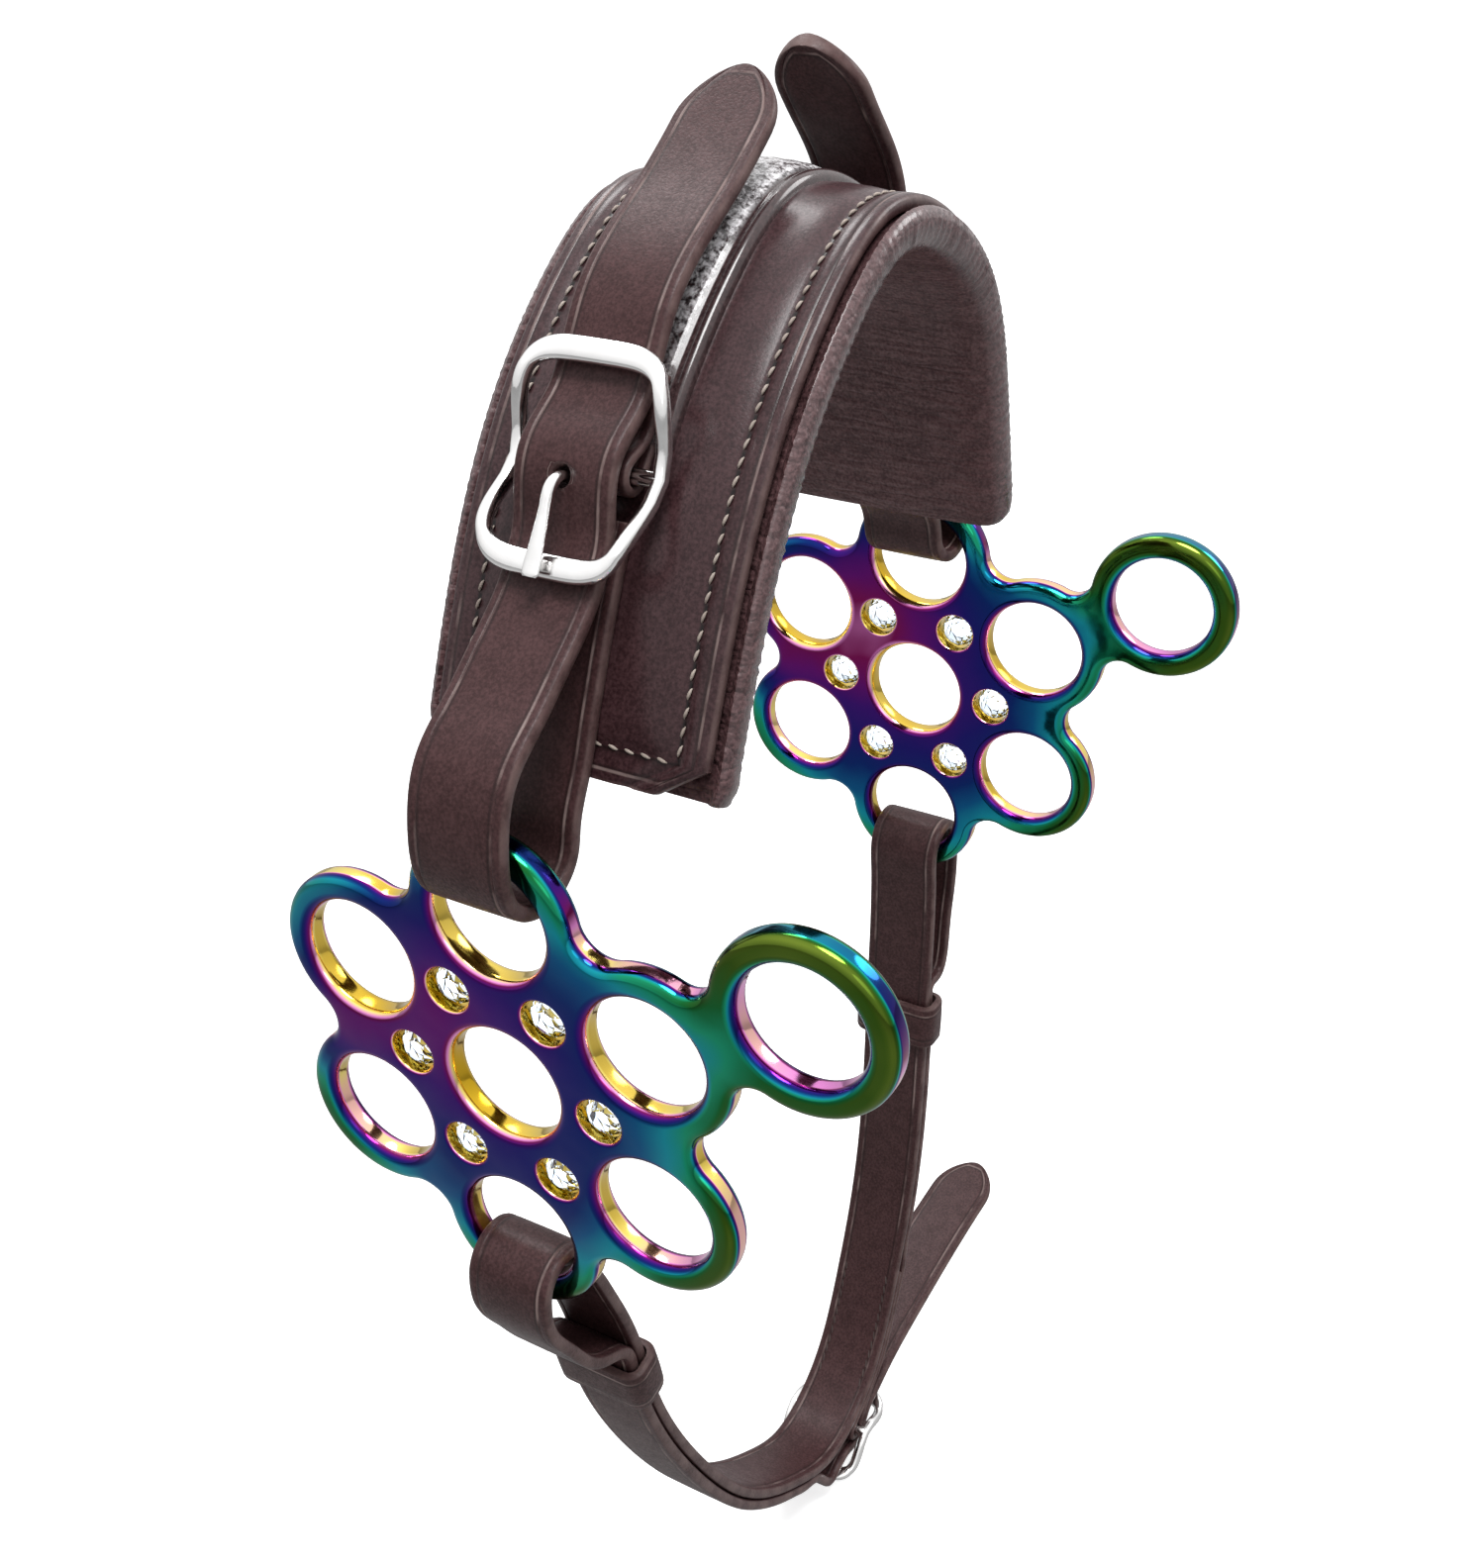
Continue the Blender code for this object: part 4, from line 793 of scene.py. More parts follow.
def hanger_line(side):
    """Down the outer leather, round the ring, up through the buckle and on to the tip."""
    seat, half = HANGER_SEATS[side], HALVES[side]
    knots = raised(half, BUCKLE_RUNS[side] + 0.0075, runs(half)[-1] - 0.002, GAP + HANGER_T / 2, 7)
    rise = loop_rise(2 * HANGER_HALF, HANGER_LOOP_R, HANGER_T, HANGER_SHIFT)
    knots += arc((HALF_SPAN - HANGER_SHIFT, HUB_Z + RING_PITCH + rise), HANGER_LOOP_R, 180, 360, 7)
    billet = seat.through(13)
    knots += beside_chord(knots[-1], billet[0], OUTER_SHARES)
    lift = billet[-1] + seat.along * LIFTS[side][0] + seat.out * LIFTS[side][1]
    knots += billet + [lift, (lift + TIPS[side]) / 2, np.array(TIPS[side])]
    return near_tip_dense(smooth_line(knots, 0.0005))


def hanger_pieces(side, label):
    """One side's strap with its tongue hole, and its chape with the slot for the tongue."""
    line, seat = hanger_line(side), HANGER_SEATS[side]
    strap = strap_piece(f"hanger_strap_leather_{label}", line, pointed(line, HANGER_HALF), HANGER_T, side)
    punch(strap, seat.at(HOLE_RUN, seat.billet(HOLE_RUN)), seat.out, HANGER_PUNCH, side)
    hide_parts(f"hanger_strap_{label}")
    start, end = BUCKLE_RUNS[side] - 0.0175, BUCKLE_RUNS[side] - 0.006
    lower, upper = GAP + CHAPE_T / 2, 2 * GAP + 1.5 * CHAPE_T
    knots = raised(HALVES[side], start, end, lower, 3) + fold(seat, 9)
    knots += raised(HALVES[side], end, start, upper, 3)
    chape = strap_piece(f"buckle_chape_leather_{label}", smooth_line(knots, 0.0006), HANGER_HALF, CHAPE_T, side)
    slot_for_tongue(chape, seat, side)
    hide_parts(f"buckle_chape_{label}")
    for piece in (strap, chape):
        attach(piece, "noseband")
    print(strap.name, len(strap.data.polygons), "faces")


def slot_for_tongue(target, seat, side):
    """Room in the fold for the tongue's eye: a drum round the bar is cut away."""
    flat = (seat.bar + wheel(EYE_R + TONGUE_R + GAP / 2, full_turn(22))) * (side, 1)
    points = np.stack([in_space(flat, STRAP_Y + end * SLOT_HALF) for end in (-1, 1)])
    combined(target, skin("slot_drum", points, BRIDLE), "DIFFERENCE")


hanger_pieces(-1, "left")
hanger_pieces(1, "right")

# %% [markdown]
# The curb strap is one long strap. Its buckle end is skived thin, folded round the bar and sewn
# back on itself. It then climbs to the right plate, turns through the lower ring, runs under the
# chin, turns through the left ring and comes back along itself to the buckle and its free tail.

# %% Curb strap
CURB_HALF, CURB_T, CURB_DROP = 0.0095, 0.0028, 0.2195
CURB_LOOP_R, CURB_SHIFT, CURB_PUNCH = 0.0069, 0.0005, 0.0059
TAIL_TURN, TAIL_LONG, TAIL_SWAY = math.radians(7), 0.082, -0.004
SPARE_HOLE_RUN = 0.085
CHIN = np.array([
    (0.935, 0.30), (0.92, 0.433), (0.899, 0.592), (0.842, 0.738), (0.715, 0.880), (0.540, 0.985),
    (0.300, 1.012), (0.101, 0.972), (-0.09, 0.911), (-0.258, 0.838), (-0.427, 0.733), (-0.584, 0.610),
    (-0.71, 0.475), (-0.765, 0.385), (-0.85, 0.29)])


def curb_place(shares):
    """Places from shares of half the span, to the side, and of the strap's drop, down from the hub."""
    return np.array([0, HUB_Z]) + np.array(shares) * (HALF_SPAN, -CURB_DROP)


def curb_loop(side):
    """The middle of the loop through a plate's lower ring."""
    rise = loop_rise(2 * CURB_HALF, CURB_LOOP_R, CURB_T, CURB_SHIFT)
    return np.array([side * (HALF_SPAN + CURB_SHIFT), HUB_Z - RING_PITCH - rise])


CHIN_LINE = smooth_line(np.concatenate([
    [curb_loop(1) - (CURB_LOOP_R, 0)], curb_place(CHIN), [curb_loop(-1) + (CURB_LOOP_R, 0)]]), 0.001)
CHIN_RUN = runs(CHIN_LINE)[-1]
CURB_BAR_RUN = CHIN_RUN * 0.452
CURB_SEAT = Seat(CHIN_LINE, CURB_BAR_RUN, CURB_T / 2, CURB_T, 2 * CURB_HALF, 0.030, 0.0006, -1)
KEEPER_RUNS = {"right": 0.13 * CHIN_RUN, "left": 0.876 * CHIN_RUN}


def curb_line():
    """Knots with four numbers each: place, thickness and sway of the middle line in Y. First the
    skived buckle end, then the outer layer up to the right ring, the long run from loop to loop,
    the outer layer down to the buckle and the tail."""
    def level(points, thick=CURB_T, sway=0.0):
        return [(*point, thick, sway) for point in points]
    lower, upper = CURB_T / 2 + GAP + CHAPE_T / 2, CURB_T / 2 + 2 * GAP + 1.5 * CHAPE_T
    outer, start, end = CURB_T + GAP, CURB_BAR_RUN - 0.046, CURB_BAR_RUN - 0.006
    past_keeper = 0.0117
    knots = level(raised(CHIN_LINE, start, end, lower, 5) + fold(CURB_SEAT, 9)
                  + raised(CHIN_LINE, end, start - CHAPE_T, upper, 5), CHAPE_T)
    knots += level(raised(CHIN_LINE, start - 0.010, KEEPER_RUNS["right"] - past_keeper, outer, 9))
    route = list(curb_place([(1.0, 0.41), (1.06, 0.345), (1.087, 0.28)]))
    route += arc(curb_loop(1), CURB_LOOP_R, 0, 180, 7)
    route += raised(CHIN_LINE, CURB_LOOP_R, CHIN_RUN - CURB_LOOP_R, 0, 44)
    route += arc(curb_loop(-1), CURB_LOOP_R, 0, 180, 7)
    route += list(curb_place([(-1.078, 0.25), (-1.01, 0.302), (-0.90, 0.36)]))
    route += raised(CHIN_LINE, KEEPER_RUNS["left"] + past_keeper, CURB_BAR_RUN + 0.0216, outer, 22)
    route += CURB_SEAT.through(13)
    clear = route[-1] + CURB_SEAT.along * 0.006
    away = CURB_SEAT.along * math.cos(TAIL_TURN) + CURB_SEAT.out * math.sin(TAIL_TURN)
    knots += level(route + [clear])
    for share in (0.3, 0.65, 1.0):
        knots += level([clear + away * TAIL_LONG * share], CURB_T, TAIL_SWAY * share**2)
    return near_tip_dense(smooth_line(knots, 0.0006))


def curb_piece():
    """One hole under the tongue, and a spare one in the outer layer further along."""
    line = curb_line()
    strap = strap_piece("curb_strap_leather", line, pointed(line, CURB_HALF), line[:, 2], 1, line[:, 3])
    slot_for_tongue(strap, CURB_SEAT, 1)
    punch(strap, CURB_SEAT.at(HOLE_RUN, CURB_SEAT.billet(HOLE_RUN)), CURB_SEAT.out, CURB_PUNCH)
    spot, _, out = (value[0] for value in on_line(CHIN_LINE, CURB_BAR_RUN + SPARE_HOLE_RUN))
    punch(strap, spot + out * (CURB_T + GAP), out, CURB_T + 1.2 * GAP)
    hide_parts("curb_strap")
    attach(strap, "curb")
    return strap


curb = curb_piece()
print("curb strap:", len(curb.data.polygons), "faces,", round(CHIN_RUN * 1000), "mm under the chin")

# %% [markdown]
# Two leather bands hold the layers of the curb strap together. Each is a closed loop round the
# strap with rounded edges, so its section is carried round a rounded rectangle.

# %% Keepers
KEEPER_WALL, KEEPER_LONG, KEEPER_BEND = 0.0018, 0.013, 0.0020
KEEPER_EDGE = np.array([
    (0, -0.5), (0.15, -0.5), (0.55, -0.497), (0.88, -0.475), (1.0, -0.43), (1.04, -0.2), (1.05, 0.0)])


def keeper_piece(label):
    """Corners of a rounded rectangle in the (Y, out) plane; at each, a small rounded section
    whose two directions are outwards from the strap and along it."""
    spot, slope, out = (value[0] for value in on_line(CHIN_LINE, KEEPER_RUNS[label]))
    low, high, half = -CURB_T / 2 - 2 * GAP, 1.5 * CURB_T + 3 * GAP, CURB_HALF + 2 * GAP
    turns = np.radians(np.concatenate([np.linspace(q * 90, q * 90 + 90, 7) for q in range(4)]))
    corner = np.array([(1, 1), (-1, 1), (-1, -1), (1, -1)])[np.repeat(np.arange(4), 7)]
    centre = np.where(corner > 0, (half - KEEPER_BEND, high - KEEPER_BEND),
                      (-half + KEEPER_BEND, low + KEEPER_BEND))
    edge = np.concatenate([KEEPER_EDGE, KEEPER_EDGE[-2::-1] * (1, -1)])
    reach = KEEPER_BEND + edge[:, 0] * KEEPER_WALL
    plane = centre[:, None] + wheel(1.0, turns)[:, None] * reach[None, :, None]
    shift = edge[:, 1] * KEEPER_LONG
    flat = spot + plane[..., 1:] * out + shift[None, :, None] * slope
    points = in_space(flat, STRAP_Y + plane[..., 0])
    rim = np.broadcast_to((0.5 - np.abs(edge[:, 1])) * KEEPER_LONG, plane.shape[:2])
    piece = skin(f"curb_keeper_leather_{label}", points, BRIDLE, loop=True, rim=rim)
    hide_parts(f"curb_keeper_{label}")
    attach(piece, f"keeper_{label}")
    return piece


print([keeper_piece(label).name for label in ("left", "right")])

# %% [markdown]
# The buckles are cast and bright. The frame is a bowed rounded rectangle; its two end bars swell
# to a wide, flat section, and its sides are slim. The metal is a plain polished nickel with the
# faintest drift in its gloss. A bar joins the sides at the middle, and the tongue's eye turns on it.

# %% Nickel
def nickel():
    """One cloud moves the colour and the roughness together; the finest dents bend the gloss."""
    material, tree, shader, place = fresh_material("bright_nickel", metallic=1.0)
    cloud = noise(tree, place, 190.0, 4.0)
    colour = blend_colour(tree, cloud, (0.80, 0.79, 0.785), (0.95, 0.945, 0.94))
    tree.links.new(colour, shader.inputs["Base Color"])
    tree.links.new(spread(tree, cloud, 0.3, 0.7, 0.09, 0.20), shader.inputs["Roughness"])
    tree.links.new(bumped(tree, noise(tree, place, 700.0), 0.06, 0.0003), shader.inputs["Normal"])
    return material


NICKEL = nickel()


# %% Buckle frames, bars and tongues
def superellipse(power, count):
    """Signed powers of cosine and sine; the shape is squarer than a circle when power is over 2."""
    round_it = wheel(1.0, full_turn(count))
    return (np.sign(round_it) * np.abs(round_it) ** (2 / power)).T


def frame_piece(name, seat, side, node, body):
    """The frame's middle line is a superellipse bowed by a smooth step of the distance from the
    bar; its section widens towards the end bars by the same step."""
    along, across = superellipse(4.5, 160)
    along, across = seat.reach * along, seat.half * across
    share = np.clip(np.abs(along) / (seat.reach * 0.8), 0, 1)
    step = share * share * (3 - 2 * share)
    middle = np.stack([along, across, seat.bow * step], axis=1)
    ahead = np.roll(middle, -1, axis=0) - np.roll(middle, 1, axis=0)
    ahead /= np.linalg.norm(ahead, axis=1)[:, None]
    flat = np.cross(ahead, (0.0, 0.0, 1.0))
    flat /= np.linalg.norm(flat, axis=1)[:, None]
    proud = np.cross(flat, ahead)
    end = np.clip((np.abs(along) / seat.reach - 0.80) / 0.2, 0, 1)
    wide, thick = superellipse(2.6, 18) / 2
    width = (0.0026 + 0.0019 * end)[:, None] * wide
    height = (0.0030 - 0.0006 * end)[:, None] * thick
    points = middle[:, None] + flat[:, None] * width[..., None] + proud[:, None] * height[..., None]
    ring = skin(name, seat.world(points, side), NICKEL, loop=True, sharp=70)
    bar = np.stack([in_space(wheel(BAR_R, full_turn(20)), tip * seat.half) for tip in (-1, 1)])
    combined(ring, skin("bar", seat.world(bar, side), NICKEL), "UNION")
    ring.data.set_sharp_from_angle(angle=math.radians(60))
    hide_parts(node)
    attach(ring, body)


def tongue_piece(name, seat, side, node, body):
    """A round rod bent round the bar. Over the last third it is pressed to 0.6 of its height and
    widens in step, and the very tip is rounded."""
    over = seat.high + seat.thick / 2 + GAP + TONGUE_R
    rest = seat.bow + ROD_T / 2 + GAP + TONGUE_R
    eye = np.radians(np.arange(60, -181, -24))
    knots = list(wheel(EYE_R, eye))
    knots += [(-EYE_R * a, over * b) for a, b in ((1.07, 0.46), (1.22, 0.80), (1.85, 1.0), (3.1, 1.0))]
    knots += [(-seat.reach * 0.75, (over + rest) / 2), (-seat.reach - ROD_W / 2 - 0.0008, rest)]
    line = smooth_line(knots, 0.0003)
    left = runs(line)[-1] - runs(line)
    blunt = np.clip(left / 0.0005, 0.0, 1) ** 0.5 * 0.2 + 0.8
    pressed = np.clip(1.3 - left / 0.009, 0, 1)
    wide, thick = superellipse(2.3, 16) / 2
    across = (2 * TONGUE_R * blunt * (1 + 0.55 * pressed))[:, None] * wide
    up = (2 * TONGUE_R * blunt * (1 - 0.40 * pressed))[:, None] * thick
    points = swept(line, across, up, np.zeros(len(line)))
    piece = skin(name, seat.world(points, side), NICKEL)
    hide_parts(node)
    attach(piece, body)


for side, label in ((-1, "left"), (1, "right")):
    seat = HANGER_SEATS[side]
    frame_piece(f"buckle_frame_metal_{label}", seat, side, f"buckle_frame_{label}", f"buckle_{label}")
    tongue_piece(f"buckle_tongue_metal_{label}", seat, side, f"buckle_tongue_{label}", f"tongue_{label}")
frame_piece("curb_buckle_frame_metal", CURB_SEAT, 1, "curb_buckle_frame", "buckle_curb")
tongue_piece("curb_buckle_tongue_metal", CURB_SEAT, 1, "curb_buckle_tongue", "tongue_curb")
print("buckles made")

# %% [markdown]
# Each cheek plate is one flat casting: a hub ring with six rings round it, and a seventh at the
# end of the shank. Its edge is found by rolling: arcs round the rings, joined by hollow arcs
# that touch two rings at once. All its edges and those of the holes are rounded alike.

# %% Outline of a plate
RING_OUTER, PLATE_T = RING_HOLE + 0.0055, 0.006
SHANK_REACH, SHANK_TURN, STONE_PITCH = 0.071, 30, 0.021
NECK_FILLET, RING_FILLET, OUTLINE_STEP = 0.005, 0.006, 0.0009
SIXTHS = 60 * np.arange(6)
RINGS = np.concatenate([[(0, 0)], wheel(RING_PITCH, np.radians(SHANK_TURN + SIXTHS)),
                        [wheel(SHANK_REACH, math.radians(SHANK_TURN))]])
STONES = wheel(STONE_PITCH, np.radians(SIXTHS))


def turned_arc(centre, radius, first, last, way):
    """Arc from the direction of one point to that of another, turning one way."""
    start = math.atan2(*(first - centre)[::-1])
    sweep = (math.atan2(*(last - centre)[::-1]) - start) * way % (2 * math.pi)
    count = max(3, int(round(RING_OUTER * sweep / OUTLINE_STEP)))
    return centre + wheel(radius, start + way * sweep * np.arange(count) / count)


def plate_outline(inset):
    """Two ring centres and the hollow between them make a triangle with known sides, which
    places the hollow's centre. The way round passes the ring under the shank twice."""
    around = RINGS[[7, 1, 2, 3, 4, 5, 6, 1]]
    pairs = list(zip(around, np.roll(around, -1, axis=0)))
    hollows = []
    for index, (here, there) in enumerate(pairs):
        fillet = NECK_FILLET if index in (0, 7) else RING_FILLET
        gap = there - here
        reach = np.linalg.norm(gap)
        rise = math.sqrt((RING_OUTER + fillet) ** 2 - (reach / 2) ** 2)
        hollows.append(((here + there) / 2 + np.array([gap[1], -gap[0]]) / reach * rise, fillet + inset))
    parts = []
    for index, (here, there) in enumerate(pairs):
        (before, _), (hollow, radius) = hollows[index - 1], hollows[index]
        parts.append(turned_arc(here, RING_OUTER - inset, before, hollow, 1))
        parts.append(turned_arc(hollow, radius, here, there, -1))
    return np.concatenate(parts)


def ring_loop(centre, radius, count):
    """The edge of a round hole."""
    return centre + wheel(radius, full_turn(count))


print("outline has", len(plate_outline(0)), "points")

# %% [markdown]
# The rainbow is a thin oxide film. Its colour follows the film's thickness, which drifts over the
# plate, and the tilt of the surface, so the same place runs from green or blue on the flat
# through purple and pink to gold on the walls of the holes. Each point stores one number for
# that, its step along the series of film colours, and a colour ramp turns it into colour.

# %% Film colours
FILM = ((0.00, (205, 165, 30)), (0.08, (246, 224, 120)), (0.16, (244, 190, 176)), (0.24, (232, 140, 214)),
        (0.32, (122, 14, 82)), (0.39, (100, 16, 112)), (0.47, (62, 18, 116)), (0.54, (30, 24, 110)),
        (0.61, (8, 40, 108)), (0.67, (8, 86, 136)), (0.73, (20, 146, 164)), (0.79, (24, 150, 112)),
        (0.86, (18, 100, 46)), (0.93, (54, 86, 16)), (1.00, (104, 124, 40)))


def from_screen(colour):
    """Screen colour to the linear values that shaders use: about the 2.2 power."""
    share = np.array(colour) / 255.0
    return tuple(np.where(share <= 0.04045, share / 12.92, ((share + 0.055) / 1.055) ** 2.4).tolist())


def rainbow():
    """Polished metal. A wide noise moves the stored film step a little, and the ramp colours it."""
    material, tree, shader, place = fresh_material(
        "rainbow_film", metallic=1.0, coat_weight=0.1, coat_roughness=0.05)
    cloud = sum_of(tree, "SUBTRACT", noise(tree, place, 38.0, 2.0), 0.5)
    phase = sum_of(tree, "MULTIPLY_ADD", cloud, 0.16, number_on(tree, "film"))
    ramp = tree.nodes.new("ShaderNodeValToRGB")
    while len(ramp.color_ramp.elements) > 1:
        ramp.color_ramp.elements.remove(ramp.color_ramp.elements[-1])
    for at, colour in FILM:
        stop = ramp.color_ramp.elements.new(at) if at else ramp.color_ramp.elements[0]
        stop.position, stop.color = at, (*from_screen(colour), 1.0)
    tree.links.new(phase, ramp.inputs["Fac"])
    tree.links.new(ramp.outputs["Color"], shader.inputs["Base Color"])
    tree.links.new(spread(tree, noise(tree, place, 260.0), 0.3, 0.7, 0.08, 0.17), shader.inputs["Roughness"])
    return material


RAINBOW = rainbow()


def patch(flat, along, up, wide):
    """A round patch: one in its middle, and outwards a bell curve of the distance."""
    return np.exp(-((flat[..., 0] - along) ** 2 + (flat[..., 1] - up) ** 2) / (2 * wide**2))


def film_step(flat, tilt, outer, side):
    """Film step of a point. The base grows towards the shank, downwards, outwards with a power of
    the distance from the hub, and once more low at the back; it is lower in round patches on the
    shank's neck, beside the hub and at the back. On an edge that turns away the step falls with
    the tilt; on the outer edge it rises first, and it falls less where the edge lies high."""
    away = np.linalg.norm(flat, axis=-1)
    base = (0.515 if side < 0 else 0.490) + 0.10 * flat[..., 0] / 0.05 - 0.03 * flat[..., 1] / 0.05
    base = base + 0.33 * np.clip(away / 0.052, 0, 1.08) ** 2.4
    base = base + 0.12 * np.clip(-flat[..., 0] / 0.05, 0, 1) * np.clip(-flat[..., 1] / 0.02, 0, 1)
    base = np.minimum(base, 0.93) - 0.14 * patch(flat, 0.045, 0.026, 0.008)
    base = base - (0.10 if side < 0 else 0.20) * patch(flat, -0.016, 0.018, 0.016)
    base = base - 0.18 * patch(flat, -0.040, 0.002, 0.008)
    if outer:
        high = np.clip((flat[..., 1] - 0.030) / 0.020, 0, 1)
        return np.clip(base + 0.30 * tilt * (1 - tilt) - (0.76 - 0.52 * high) * tilt**2.2, 0.02, 1.0)
    return np.clip(base - 0.66 * tilt**0.8, 0.02, 1.0)


# %% Cheek plates
EDGE_ROUND, BORE_R, BORE_ROUND = 0.0021, 0.0047, 0.0007


def hub_of(side):
    """The middle of a plate's hub ring."""
    return np.array([side * HALF_SPAN, STRAP_Y, HUB_Z])


def rounded_levels(radius):
    """Depth, inset and tilt through the plate: quarter circles at both faces and a flat wall."""
    turns = np.linspace(0, math.pi / 2, 7)
    depth = PLATE_T / 2 - radius + radius * np.sin(turns)
    inset = radius * (1 - np.cos(turns))
    tilt = 1 - np.sin(turns)
    return (np.concatenate([-depth[::-1], depth]), np.concatenate([inset[::-1], inset]),
            np.concatenate([tilt[::-1], tilt]))


def plate_piece(side, label):
    """Every edge loop is a wall of rows; the flat faces are filled between the last rows."""
    rims = [(plate_outline, EDGE_ROUND)]
    rims += [(lambda inset, c=c: ring_loop(c, RING_HOLE + inset, 72), EDGE_ROUND) for c in RINGS]
    rims += [(lambda inset, c=c: ring_loop(c, BORE_R + inset, 36), BORE_ROUND) for c in STONES]
    walls = []
    for make, radius in rims:
        depth, inset, tilt = rounded_levels(radius)
        flat = np.stack([make(value) for value in inset])
        depth, tilt = (np.broadcast_to(value[:, None], flat.shape[:2]) for value in (depth, tilt))
        points = hub_of(side) + np.stack([depth, -flat[..., 0], flat[..., 1]], axis=-1)
        walls.append((points, film_step(flat, tilt, make is plate_outline, side)))
    shape = bmesh.new()
    film = shape.verts.layers.float.new("film")
    edges = {0: [], -1: []}
    for points, steps in walls:
        grid = [[shape.verts.new(point) for point in row] for row in points]
        for row, values in zip(grid, steps):
            for vert, value in zip(row, values):
                vert[film] = value
        for row, after in zip(grid, grid[1:]):
            for corners in zip(row, row[1:] + row[:1], after[1:] + after[:1], after):
                shape.faces.new(corners)
        for end in edges:
            row = grid[end]
            edges[end] += [shape.edges.get(pair) for pair in zip(row, row[1:] + row[:1])]
    for end in edges:
        bmesh.ops.triangle_fill(shape, use_beauty=True, use_dissolve=False, edges=edges[end])
    mesh = bpy.data.meshes.new(f"cheek_plate_metal_{label}")
    shape.to_mesh(mesh)
    shape.free()
    piece = as_piece(f"cheek_plate_metal_{label}", mesh, RAINBOW, sharp=60)
    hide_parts(f"cheek_plate_{label}")
    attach(piece, f"cheek_{label}")
    print(piece.name, len(mesh.polygons), "faces")


plate_piece(-1, "left")
plate_piece(1, "right")

# %% [markdown]
# The stones are clear and set through the plate, so both faces show a table and a ring of facets.
# Flat shading keeps each facet a small mirror.

# %% Crystals
def clear_stone():
    """Clear and hard, with a blue tint that comes and goes."""
    material, tree, shader, place = fresh_material("clear_stone", ior=1.75, transmission_weight=1.0)
    tint = noise(tree, place, 420.0, 1.0)
    tree.links.new(blend_colour(tree, tint, (0.55, 0.76, 1.0), (1.0, 1.0, 1.0)), shader.inputs["Base Color"])
    tree.links.new(spread(tree, tint, 0.3, 0.7, 0.0, 0.03), shader.inputs["Roughness"])
    return material


STONE = clear_stone()
STONE_R = 0.0044
CUT = np.array([(-2.35, 0.52), (-1.35, 0.84), (-0.35, 1.0), (0.35, 1.0), (1.35, 0.84), (2.35, 0.52)])


def stone_piece(side, label, number, spot):
    """Rings of eight points, each at a depth in millimetres and with a share of the stone's
    radius; every second ring is turned by a sixteenth, so facets are kites."""
    turns = full_turn(8) + (np.arange(6) % 2 * math.pi / 8)[:, None]
    depth, share = CUT[:, :1] / 1000, CUT[:, 1, None, None]
    ring = spot * (-1, 1) + wheel(STONE_R * share, turns)
    points = hub_of(side) + np.stack([np.broadcast_to(depth, turns.shape), ring[..., 0], ring[..., 1]], axis=-1)
    piece = skin(f"crystal_cut_{label}_{number}", points, STONE, sharp=5)
    piece.data.shade_flat()
    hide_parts(f"crystal_{label}_{number}")
    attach(piece, f"cheek_{label}")


for side, label in ((-1, "left"), (1, "right")):
    for number, spot in enumerate(STONES, start=1):
        stone_piece(side, label, number, spot)
print("twelve stones set")

# %% [markdown]
# The thread is waxed, beige on the noseband and brown on the curb strap. Every stitch is its own
# small capsule that dips into the leather at both ends, because a row of real stitches catches
# the light where a painted dash cannot.

# %% Thread
def thread(name, dark, light):
    """Dull and uneven in its dye."""
    material, tree, shader, place = fresh_material(name, roughness=0.7)
    tree.links.new(blend_colour(tree, noise(tree, place, 240.0), dark, light), shader.inputs["Base Color"])
    return material


THREAD = thread("beige_thread", (0.12, 0.085, 0.07), (0.46, 0.40, 0.35))
BROWN_THREAD = thread("brown_thread", (0.018, 0.010, 0.009), (0.075, 0.052, 0.046))
STITCH_LONG, STITCH_R, STITCH_LEAN = 0.0022, 0.00033, (0.97, 0.24)


def stitch_row(name, rows, body, material=THREAD):
    """All stitches at once: a ring of six points at seven places along each, with a radius that
    follows half an ellipse and a height that follows a flat arch. Every stitch leans a little."""
    centres, ways, outs = (np.concatenate(group) for group in zip(*rows))
    share = np.linspace(-1, 1, 7)
    girth = STITCH_R * np.sqrt(np.clip(1 - share**2, 0.06, 1))
    sides = np.cross(ways, outs)
    straight, slant = STITCH_LEAN
    ways, sides = ways * straight + sides * slant, sides * straight - ways * slant
    spine = (centres[:, None] + ways[:, None] * (share * STITCH_LONG / 2)[None, :, None]
             + outs[:, None] * ((1 - share**4) * 0.00028 - 0.00012)[None, :, None])
    ring = wheel(girth[:, None, None], full_turn(6))[None]
    points = (spine[:, :, None] + sides[:, None, None] * ring[..., :1] + outs[:, None, None] * ring[..., 1:])
    index = np.arange(points.size // 3).reshape(points.shape[:3])
    beside = np.roll(index, -1, axis=2)
    quads = np.stack([index[:, :-1], beside[:, :-1], beside[:, 1:], index[:, 1:]], axis=-1).reshape(-1, 4)
    caps = np.concatenate([index[:, 0, ::-1], index[:, -1]])
    mesh = bpy.data.meshes.new(name)
    mesh.from_pydata(points.reshape(-1, 3), [], quads.tolist() + caps.tolist())
    piece = as_piece(name, mesh, material, sharp=80)
    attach(piece, body)
    print(name, len(centres))


def stitches_along(line, places, across, level, side=1):
    """Centres, ways and outward directions of stitches along a line, at an across value in Y."""
    spot, slope, out = on_line(line, places)
    mirror = np.array([side, 1.0, 1.0])
    return [in_space(spot + level * out, across) * mirror, in_space(slope, 0.0) * mirror,
            in_space(out, 0.0) * mirror]


def stitches_over(line, run, across, level):
    """The same for a row that runs straight across the line at one place."""
    spot, _, out = on_line(line, np.full(len(across), run))
    return [in_space(spot + level * out, across), in_space(np.zeros_like(out), 1.0), in_space(out, 0.0)]


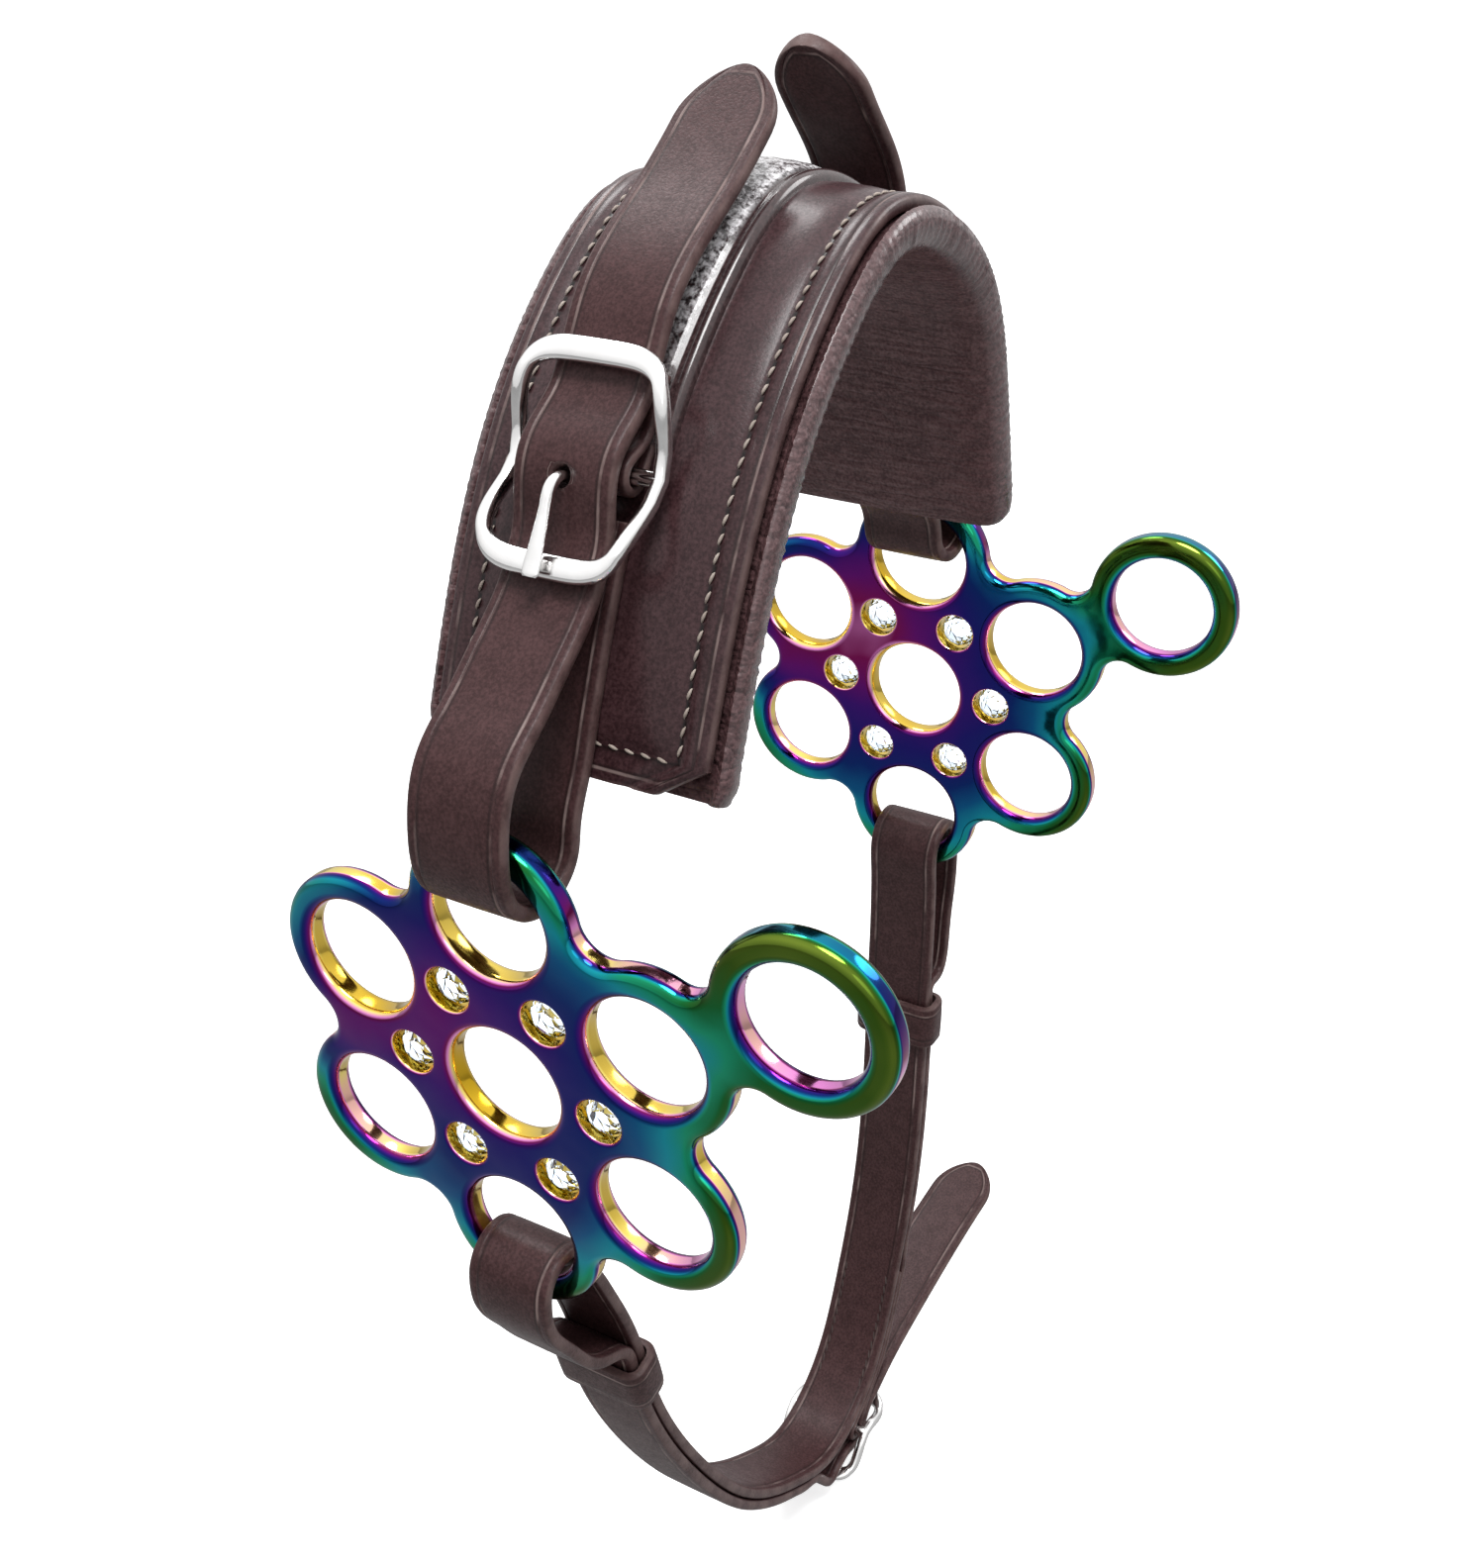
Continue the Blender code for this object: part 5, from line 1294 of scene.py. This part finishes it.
SEAM_Y, SEAM_LEVEL = SHELL_HALF - SEAM_FROM_EDGE, 0.0002 - 0.20 * SHELL_THICK
along_seam = np.arange(0.0085, ARCH_RUN - 0.0085, STITCH_STEP)
across_seam = np.arange(-0.0195, 0.0196, STITCH_STEP)
stitch_row("noseband_stitches",
           [stitches_along(ARCH, along_seam, across, SEAM_LEVEL) for across in (-SEAM_Y, SEAM_Y)]
           + [stitches_over(ARCH, run, across_seam, SEAM_LEVEL)
              for run in (SEAM_FROM_END, ARCH_RUN - SEAM_FROM_END)], "noseband")
for side, label in ((-1, "left"), (1, "right")):
    places = BUCKLE_RUNS[side] + np.arange(0.0095, 0.0220, 0.0030)
    stitch_row(f"hanger_stitches_{label}",
               [stitches_along(HALVES[side], places, STRAP_Y + across, GAP + HANGER_T, side)
                for across in (-0.0068, 0.0068)], "noseband")
places = np.arange(CURB_BAR_RUN - 0.044, CURB_BAR_RUN - 0.010, 0.0030)
stitch_row("curb_stitches",
           [stitches_along(CHIN_LINE, places, STRAP_Y + across, -CURB_T / 2) for across in (-0.0066, 0.0066)],
           "curb", material=BROWN_THREAD)

# %% [markdown]
# The stage is a pale floor under the curb strap and four soft lamps: above, in front, behind and
# beyond the right cheek. They are bright enough that a colour renders about as it is written. Floor
# and sky show themselves differently to the camera, to reflections and to bounced light.

# %% Floor and light
FLOOR_Z, FLOOR_REACH = -0.372, 4


def pale_floor():
    """A matt cloth with a glow of its own, so that the camera sees it pale. Reflections see it
    darker, and the light that it bounces carries no glow."""
    material = bpy.data.materials.new("pale_floor")
    material.use_nodes = True
    tree = material.node_tree
    for node in list(tree.nodes):
        if node.type != "OUTPUT_MATERIAL":
            tree.nodes.remove(node)
    rays = tree.nodes.new("ShaderNodeLightPath")
    direct = sum_of(tree, "MAXIMUM", rays.outputs["Is Camera Ray"], rays.outputs["Is Transmission Ray"])
    seen = sum_of(tree, "MAXIMUM", direct, rays.outputs["Is Glossy Ray"])
    cloth = tree.nodes.new("ShaderNodeBsdfDiffuse")
    bounce = blend_colour(tree, rays.outputs["Is Glossy Ray"], (0.62, 0.61, 0.60), (0.26, 0.26, 0.26))
    tree.links.new(blend_colour(tree, direct, bounce, (0.86, 0.86, 0.86)), cloth.inputs["Color"])
    glow = tree.nodes.new("ShaderNodeEmission")
    tree.links.new(blend_colour(tree, direct, (0.16, 0.16, 0.16), (0.60, 0.60, 0.60)), glow.inputs["Color"])
    glow.inputs["Strength"].default_value = 1.0
    both = tree.nodes.new("ShaderNodeAddShader")
    tree.links.new(cloth.outputs[0], both.inputs[0])
    tree.links.new(glow.outputs[0], both.inputs[1])
    mix = tree.nodes.new("ShaderNodeMixShader")
    tree.links.new(seen, mix.inputs[0])
    tree.links.new(cloth.outputs[0], mix.inputs[1])
    tree.links.new(both.outputs[0], mix.inputs[2])
    tree.links.new(mix.outputs[0], tree.nodes["Material Output"].inputs["Surface"])
    return material


floor_mesh = bpy.data.meshes.new("floor")
floor_corners = [(x * FLOOR_REACH, y * FLOOR_REACH, FLOOR_Z) for x, y in ((-1, -1), (1, -1), (1, 1), (-1, 1))]
floor_mesh.from_pydata(floor_corners, [], [(0, 1, 2, 3)])
floor_mesh.materials.append(pale_floor())
floor = bpy.data.objects.new("floor", floor_mesh)
bpy.context.collection.objects.link(floor)
floor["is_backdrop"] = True


def soft_lamp(name, place, aim, size, power):
    """A round area lamp that faces its aim; size in metres across, power in watts."""
    lamp = bpy.data.lights.new(name, "AREA")
    lamp.shape, lamp.size, lamp.energy = "DISK", size, power
    thing = bpy.data.objects.new(name, lamp)
    thing.location = place
    thing.rotation_euler = (Vector(aim) - Vector(place)).to_track_quat("-Z", "Y").to_euler()
    bpy.context.collection.objects.link(thing)


soft_lamp("overhead", (-0.25, -0.25, 1.1), (0, 0, -0.15), 0.6, 17)
soft_lamp("front", (-0.9, -0.9, 0.6), (0, 0, -0.15), 0.6, 1.2)
soft_lamp("behind", (0.45, 0.55, 0.85), (0, 0, -0.05), 0.45, 5)
soft_lamp("side", (0.9, -0.6, 0.5), (0, 0, -0.15), 0.5, 4)


def studio_world():
    """A sky that is dark below and bright above, stronger in reflections; behind the object and
    through its stones it is plain white."""
    world = bpy.data.worlds.new("studio")
    world.use_nodes = True
    tree = world.node_tree
    back = tree.nodes["Background"]
    rays = tree.nodes.new("ShaderNodeLightPath")
    seen = sum_of(tree, "MAXIMUM", rays.outputs["Is Camera Ray"], rays.outputs["Is Transmission Ray"])
    place = tree.nodes.new("ShaderNodeTexCoord").outputs["Generated"]
    parts = tree.nodes.new("ShaderNodeSeparateXYZ")
    tree.links.new(place, parts.inputs[0])
    height = spread(tree, parts.outputs["Z"], -0.1, 0.9)
    soft = blend_colour(tree, height, (0.05, 0.045, 0.045), (0.85, 0.85, 0.86))
    sharp = blend_colour(tree, height, (0.80, 0.80, 0.80), (1.35, 1.35, 1.35))
    sky = blend_colour(tree, rays.outputs["Is Glossy Ray"], soft, sharp)
    colour = blend_colour(tree, seen, sky, (1.0, 1.0, 1.0))
    tree.links.new(colour, back.inputs["Color"])
    back.inputs["Strength"].default_value = 1.0
    bpy.context.scene.world = world


studio_world()
bpy.context.scene.view_settings.view_transform = "Standard"
print("stage set")

# %% Sizes
visual_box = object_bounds()
for corner, other in zip(CAD_BOX, visual_box):
    print([round(v * 1000, 1) for v in corner], [round(v * 1000, 1) for v in other])
